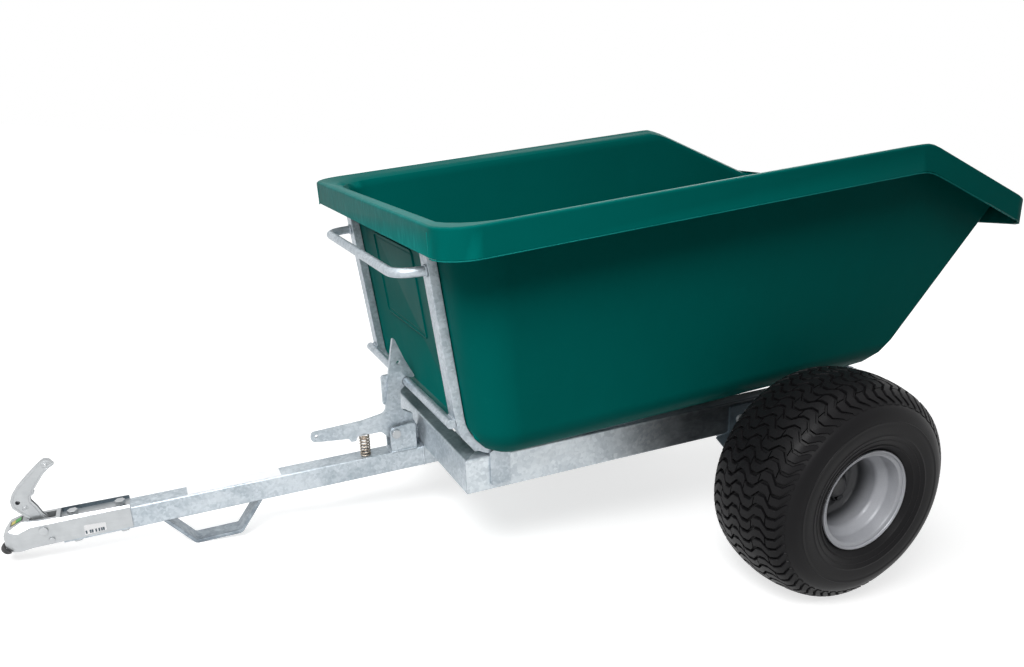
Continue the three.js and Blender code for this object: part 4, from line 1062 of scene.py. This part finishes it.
def chassis_bolts():
    """The bolts through the axle brackets and the rails."""
    for side, name in ((-1, "left"), (1, "right")):
        face = max(abs(corner[1]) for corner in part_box("axle_bracket_" + name)) / MM
        solid = Solid(CHASSIS @ Matrix.Diagonal((1, side, 1, 1)))
        washer = [(0.2, face - 0.6), (11, face - 0.6), (11, face + 1.4), (0.2, face + 1.4)]
        for x in AXLE_BOLTS:
            solid.turned(washer, 24, (x, AXLE_BOLT_HEIGHT))
            head = hexagon(15, x, AXLE_BOLT_HEIGHT, x)
            solid.plate(head, face + 1.2, face + 7.2, 0.8)
        solid.piece("axle_bracket_bolts_" + name, ZINC, "chassis", smooth=25)


chassis_bolts()


def beads():
    """Weld beads where the frame's pieces meet."""
    solid = Solid(CHASSIS)
    runs = [
        [(-841, -24.5, 34), (-777, -24.5, 34)],
        [(-841, -24.5, 34), (-841.5, 16, 34)],
        [(-761, -25.5, 33), (-761, -25.5, -16)],
        [(-761, 25.5, 33), (-761, 25.5, -16)],
        [(-761, -24, 34), (-761, 24, 34)],
        [(-761.5, 13, 36), (-761.5, 13, 74)],
        [(-761.5, 19, 36), (-761.5, 19, 74)],
        [(-1363, -14, -18), (-1363, 14, -18)],
        [(-1160, -14, -18), (-1160, 14, -18)],
    ]
    for number, run in enumerate(runs):
        weld(solid, run, 2.6, number)
    solid.piece("chassis_weld_beads", GALVANISED, "chassis", smooth=60)


beads()

# ---------------------------------------------------------------- coupling


BALL_X = -1645.0
CHANNEL = (-1565, -1431)  # its front and rear
CHANNEL_FLOOR = 33.2
CHANNEL_HALF = 23.2
BODY_SIDE = -29.0
BUMPER_REACH = 38.6
BUMPER_HEIGHT = -8.2
BUMPER_RADIUS = 4.6
COUPLING_HANDLE_HALF = 5.5


def channel_top(x):
    """The height of the channel's walls, which fall to the rear."""
    return 43.4 - (x + 1565) * 0.021


def nose_top(x):
    """The height of the coupling's sloping nose."""
    return 45.6 + (x - BALL_X) * 0.42


def on_nose(edge, middle):
    """Whether an edge of the body is an outer one of its rounded nose."""
    outer = abs(middle.y) > 15 or middle.x < BALL_X - 15
    nose = middle.z > 14 and middle.x < CHANNEL[0] - 10
    return outer and nose and edge.calc_face_angle() > math.radians(14)


def coupling_body():
    """The pressed body: a wide channel over the drawbar and a rounded nose."""
    body = dressed("coupling_body", 1.2 * MM, ZINC, angle=35)
    roll_edges(body, CHASSIS, 5, on_nose)

    space = Solid(CHASSIS).slab((-1566, -1420), 23.5, (33.8, 70))
    cutter = bpy.data.objects.new("channel_space", space.mesh("channel_space"))
    bpy.context.scene.collection.objects.link(cutter)
    cut = body.modifiers.new("channel", "BOOLEAN")
    cut.object = cutter
    cut.solver = "EXACT"
    bpy.context.view_layer.objects.active = body
    body.modifiers.move(body.modifiers.find("channel"), 0)
    bpy.ops.object.modifier_apply(modifier="channel")
    bpy.data.objects.remove(cutter)


def channel_lining():
    """Thin dark linings on the floor and both walls of the channel, put there as painted shade."""
    floor = Solid(CHASSIS).slab((-1564, -1430), 22.8, (CHANNEL_FLOOR - 0.05, 33.6))
    floor.piece("coupling_channel_floor", SHADED, "chassis", smooth=20)
    front, rear = CHANNEL
    wall = [(front, CHANNEL_FLOOR), (rear, CHANNEL_FLOOR),
            (rear, channel_top(rear)), (front, channel_top(front))]
    for name, y in (("near", -CHANNEL_HALF), ("far", CHANNEL_HALF)):
        lining = Solid(CHASSIS).loft([
            [(x, y + aside, z) for x, z in wall] for aside in (-0.25, 0.25)
        ])
        lining.piece("coupling_channel_side_" + name, SHADED, "chassis", smooth=20)


def rating_plate():
    """The plate on the body's side, with a row of plain bars for its text."""
    corners = [(-1526, -6, 2), (-1483, -4, 2), (-1482, 14, 2), (-1524, 17, 2)]
    plate = Solid(CHASSIS).loft([
        [(x, BODY_SIDE - 0.05 - proud, z) for x, z in rounded(corners, 3)] for proud in (0, 0.3)
    ])
    plate.piece("coupling_rating_plate", LABEL, "chassis", smooth=20)
    bars = Solid(CHASSIS)
    low, high, half = -3.5, 4.0, 1.6
    for x in (-1522, -1514, -1510, -1503, -1497, -1492, -1488):
        bars.loft([
            [(x - half, y, low), (x + half, y, low), (x + half, y, high), (x - half, y, high)]
            for y in (BODY_SIDE - 0.3, BODY_SIDE - 0.6)
        ])
    bars.piece("coupling_rating_plate_bars", SHADED, "chassis", smooth=20)


def bumper():
    """The rubbing strip round the nose, thinner towards its ends."""
    path = []
    sizes = []
    for i in range(33):
        t = i / 32
        angle = math.pi + 2 * t - 1
        path.append((BALL_X + BUMPER_REACH * math.cos(angle), BUMPER_REACH * math.sin(angle),
                     BUMPER_HEIGHT))
        sizes.append(BUMPER_RADIUS * min(1.0, 0.35 + 5 * min(t, 1 - t)))
    strip = Solid(CHASSIS).rope(path, sizes, 16)
    strip.piece("coupling_bumper_rounded", BLACK, "chassis", ("coupling_bumper",), smooth=60)


def indicator():
    """The dark surround of the indicator and its yellow half, on the sloping nose."""
    for name, finish, start, end, wide, proud in (
        ("indicator_surround", BLACK, -1661.5, -1636, 10.4, 0.5),
        ("indicator_yellow", YELLOW, -1658.6, -1650.5, 7.6, 1.15),
    ):
        solid = Solid(CHASSIS)
        solid.loft([
            [(start, y, nose_top(start) - 1), (end, y, nose_top(end) - 1),
             (end, y, nose_top(end) + proud), (start, y, nose_top(start) + proud)]
            for y in (-wide, wide)
        ])
        solid.piece(name, finish, "chassis", ease=0.4)


def coupling_handle():
    """A pressed handle: two cheeks joined by the folded edge, with a finger tip."""
    back = rounded([
        (-1612, 12, 9), (-1622, 45, 6), (-1640, 64, 8), (-1650, 77, 8), (-1651, 92, 8),
        (-1647, 103, 10), (-1634, 120.5, 20), (-1614, 139.5, 20), (-1594, 157, 20),
        (-1582, 166.5, 8), (-1573, 171.5, 5), (-1564, 168, 4), (-1556, 156.5, 2),
        (-1567, 151, 4), (-1580, 140, 12), (-1593, 123, 8), (-1605.5, 106.5, 1.5),
        (-1603.5, 102, 1.5), (-1613, 94.5, 2), (-1613.5, 86, 5), (-1604, 68.5, 12),
        (-1598, 53, 12), (-1589, 40, 6), (-1588, 12, 9),
    ], 5)
    pin_hole, finger_hole = (
        [(x + r * math.cos(a), z - r * math.sin(a)) for a in
         (2 * math.pi * i / 20 for i in range(20))]
        for x, z, r in ((-1600, 24, 6.3), (-1638, 87, 4.6))
    )
    half = COUPLING_HANDLE_HALF
    turns = [2 * math.pi * i / 24 for i in range(24)]
    solid = Solid(CHASSIS)
    for side in (-1, 1):
        holes = [pin_hole, finger_hole] if side < 0 else [pin_hole]
        solid.pierced([back, *holes], side * (half - 2.2), side * half)
        solid.rope([(x, side * half, z) for x, z in shrunk(back, 4.2)], 0.9, 6, closed=True)
        for x, z, r in ((-1627, 72.5, 3.4), (-1573, 156.5, 4.0)):
            ends = [(x, side * (half + out), z) for out in (-1, 1.3)]
            solid.crowned_pin(r, *ends, 18, 0.3, 0.6)
            reach = r + 2.4
            ring = [(x + reach * math.cos(a), side * half, z + reach * math.sin(a)) for a in turns]
            solid.rope(ring, 0.6, 6, closed=True)
    # The web that joins the cheeks follows their outline between these two places.
    first, last = (
        min(range(len(back)), key=lambda i: math.dist(back[i], at))
        for at in ((-1622, 45), (-1556, 157))
    )
    front = slice(first, last + 1)
    solid.ribbon(back[front], shrunk(back, 2.8)[front], -half + 0.4, half - 0.4)
    solid.piece("coupling_handle_pressed", ZINC, "handle", ("coupling_handle",), smooth=35)


coupling_body()
channel_lining()
rating_plate()
bumper()
indicator()
coupling_handle()

# ---------------------------------------------------------------- studio


def studio():
    """A pale floor, a white surround that lights little, and three soft lamps."""
    floor_finish = Finish("studio_floor", "", Roughness=0.9)
    haze = floor_finish.clouds(0.9, 2)
    colour = floor_finish.blend(haze, (0.56, 0.56, 0.56), (0.60, 0.60, 0.60))
    floor_finish.wear(colour)
    # The floor glows to white for the camera, a little less round the trailer, where the dimmer glow is painted
    # shade about it.
    inputs = {0: floor_finish.place(), 1: (0, 0, 0)}
    far = floor_finish.node("ShaderNodeVectorMath", {"operation": "DISTANCE"}, inputs)
    far = Value(floor_finish, far.outputs["Value"])
    ray = floor_finish.node("ShaderNodeLightPath")
    seen = Value(floor_finish, ray.outputs["Is Camera Ray"])
    seen = seen.math("MAXIMUM", ray.outputs["Is Glossy Ray"])
    seen = seen.math("MAXIMUM", ray.outputs["Is Transmission Ray"])
    glow = seen * (far.over(1.2, 3.2) * 0.28 + 0.72)
    floor_finish.plug(floor_finish.surface.inputs["Emission Color"], glow)
    floor_finish.surface.inputs["Emission Strength"].default_value = 1.0
    bpy.ops.mesh.primitive_plane_add(size=60, location=(0, 0, 0))
    floor = bpy.context.object
    floor.name = "studio_floor"
    floor.data.materials.append(floor_finish.material)

    world = bpy.data.worlds.new("studio")
    bpy.context.scene.world = world
    world.use_nodes = True
    nodes, links = world.node_tree.nodes, world.node_tree.links
    sky = nodes["Background"]
    sky.inputs["Color"].default_value = (1, 1, 1, 1)
    ray = nodes.new("ShaderNodeLightPath")
    seen = ray.outputs["Is Camera Ray"]
    for other in ("Is Glossy Ray", "Is Transmission Ray"):
        either = nodes.new("ShaderNodeMath")
        either.operation = "MAXIMUM"
        links.new(seen, either.inputs[0])
        links.new(ray.outputs[other], either.inputs[1])
        seen = either.outputs[0]
    strength = nodes.new("ShaderNodeMapRange")
    strength.inputs["To Min"].default_value = 0.06
    strength.inputs["To Max"].default_value = 1.0
    links.new(seen, strength.inputs["Value"])
    links.new(strength.outputs[0], sky.inputs["Strength"])

    def lamp(name, place, aim, size, power, spread=180):
        light = bpy.data.lights.new(name, "AREA")
        light.spread = math.radians(spread)
        light.shape = "DISK"
        light.size = size
        light.energy = power
        made = bpy.data.objects.new(name, light)
        made.location = place
        towards = Vector(aim) - Vector(place)
        made.rotation_euler = towards.to_track_quat("-Z", "Y").to_euler()
        bpy.context.scene.collection.objects.link(made)

    lamp("key_light", (-1.9, -1.9, 2.7), (-0.5, -0.4, 0.3), 1.7, 28, 80)
    lamp("top_light", (-0.4, 0.5, 3.8), (0.1, 0, 0.4), 3.4, 52)
    lamp("rear_fill", (2.1, 2.5, 1.9), (0.2, 0.3, 0.4), 2.4, 16)


def camera():
    """The camera stands low at the near front corner."""
    lens = bpy.data.cameras.new("camera")
    lens.sensor_width = 36
    lens.lens = 28.07
    lens.shift_x = 0.0446
    lens.shift_y = 0.0276
    made = bpy.data.objects.new("camera", lens)
    made.location = (-0.8215, -1.7251, 0.9350)
    made.rotation_euler = [math.radians(angle) for angle in (73.9, -4.2, -22.3)]
    bpy.context.scene.collection.objects.link(made)
    bpy.context.scene.camera = made


studio()
camera()
bpy.context.scene.view_settings.view_transform = "Standard"
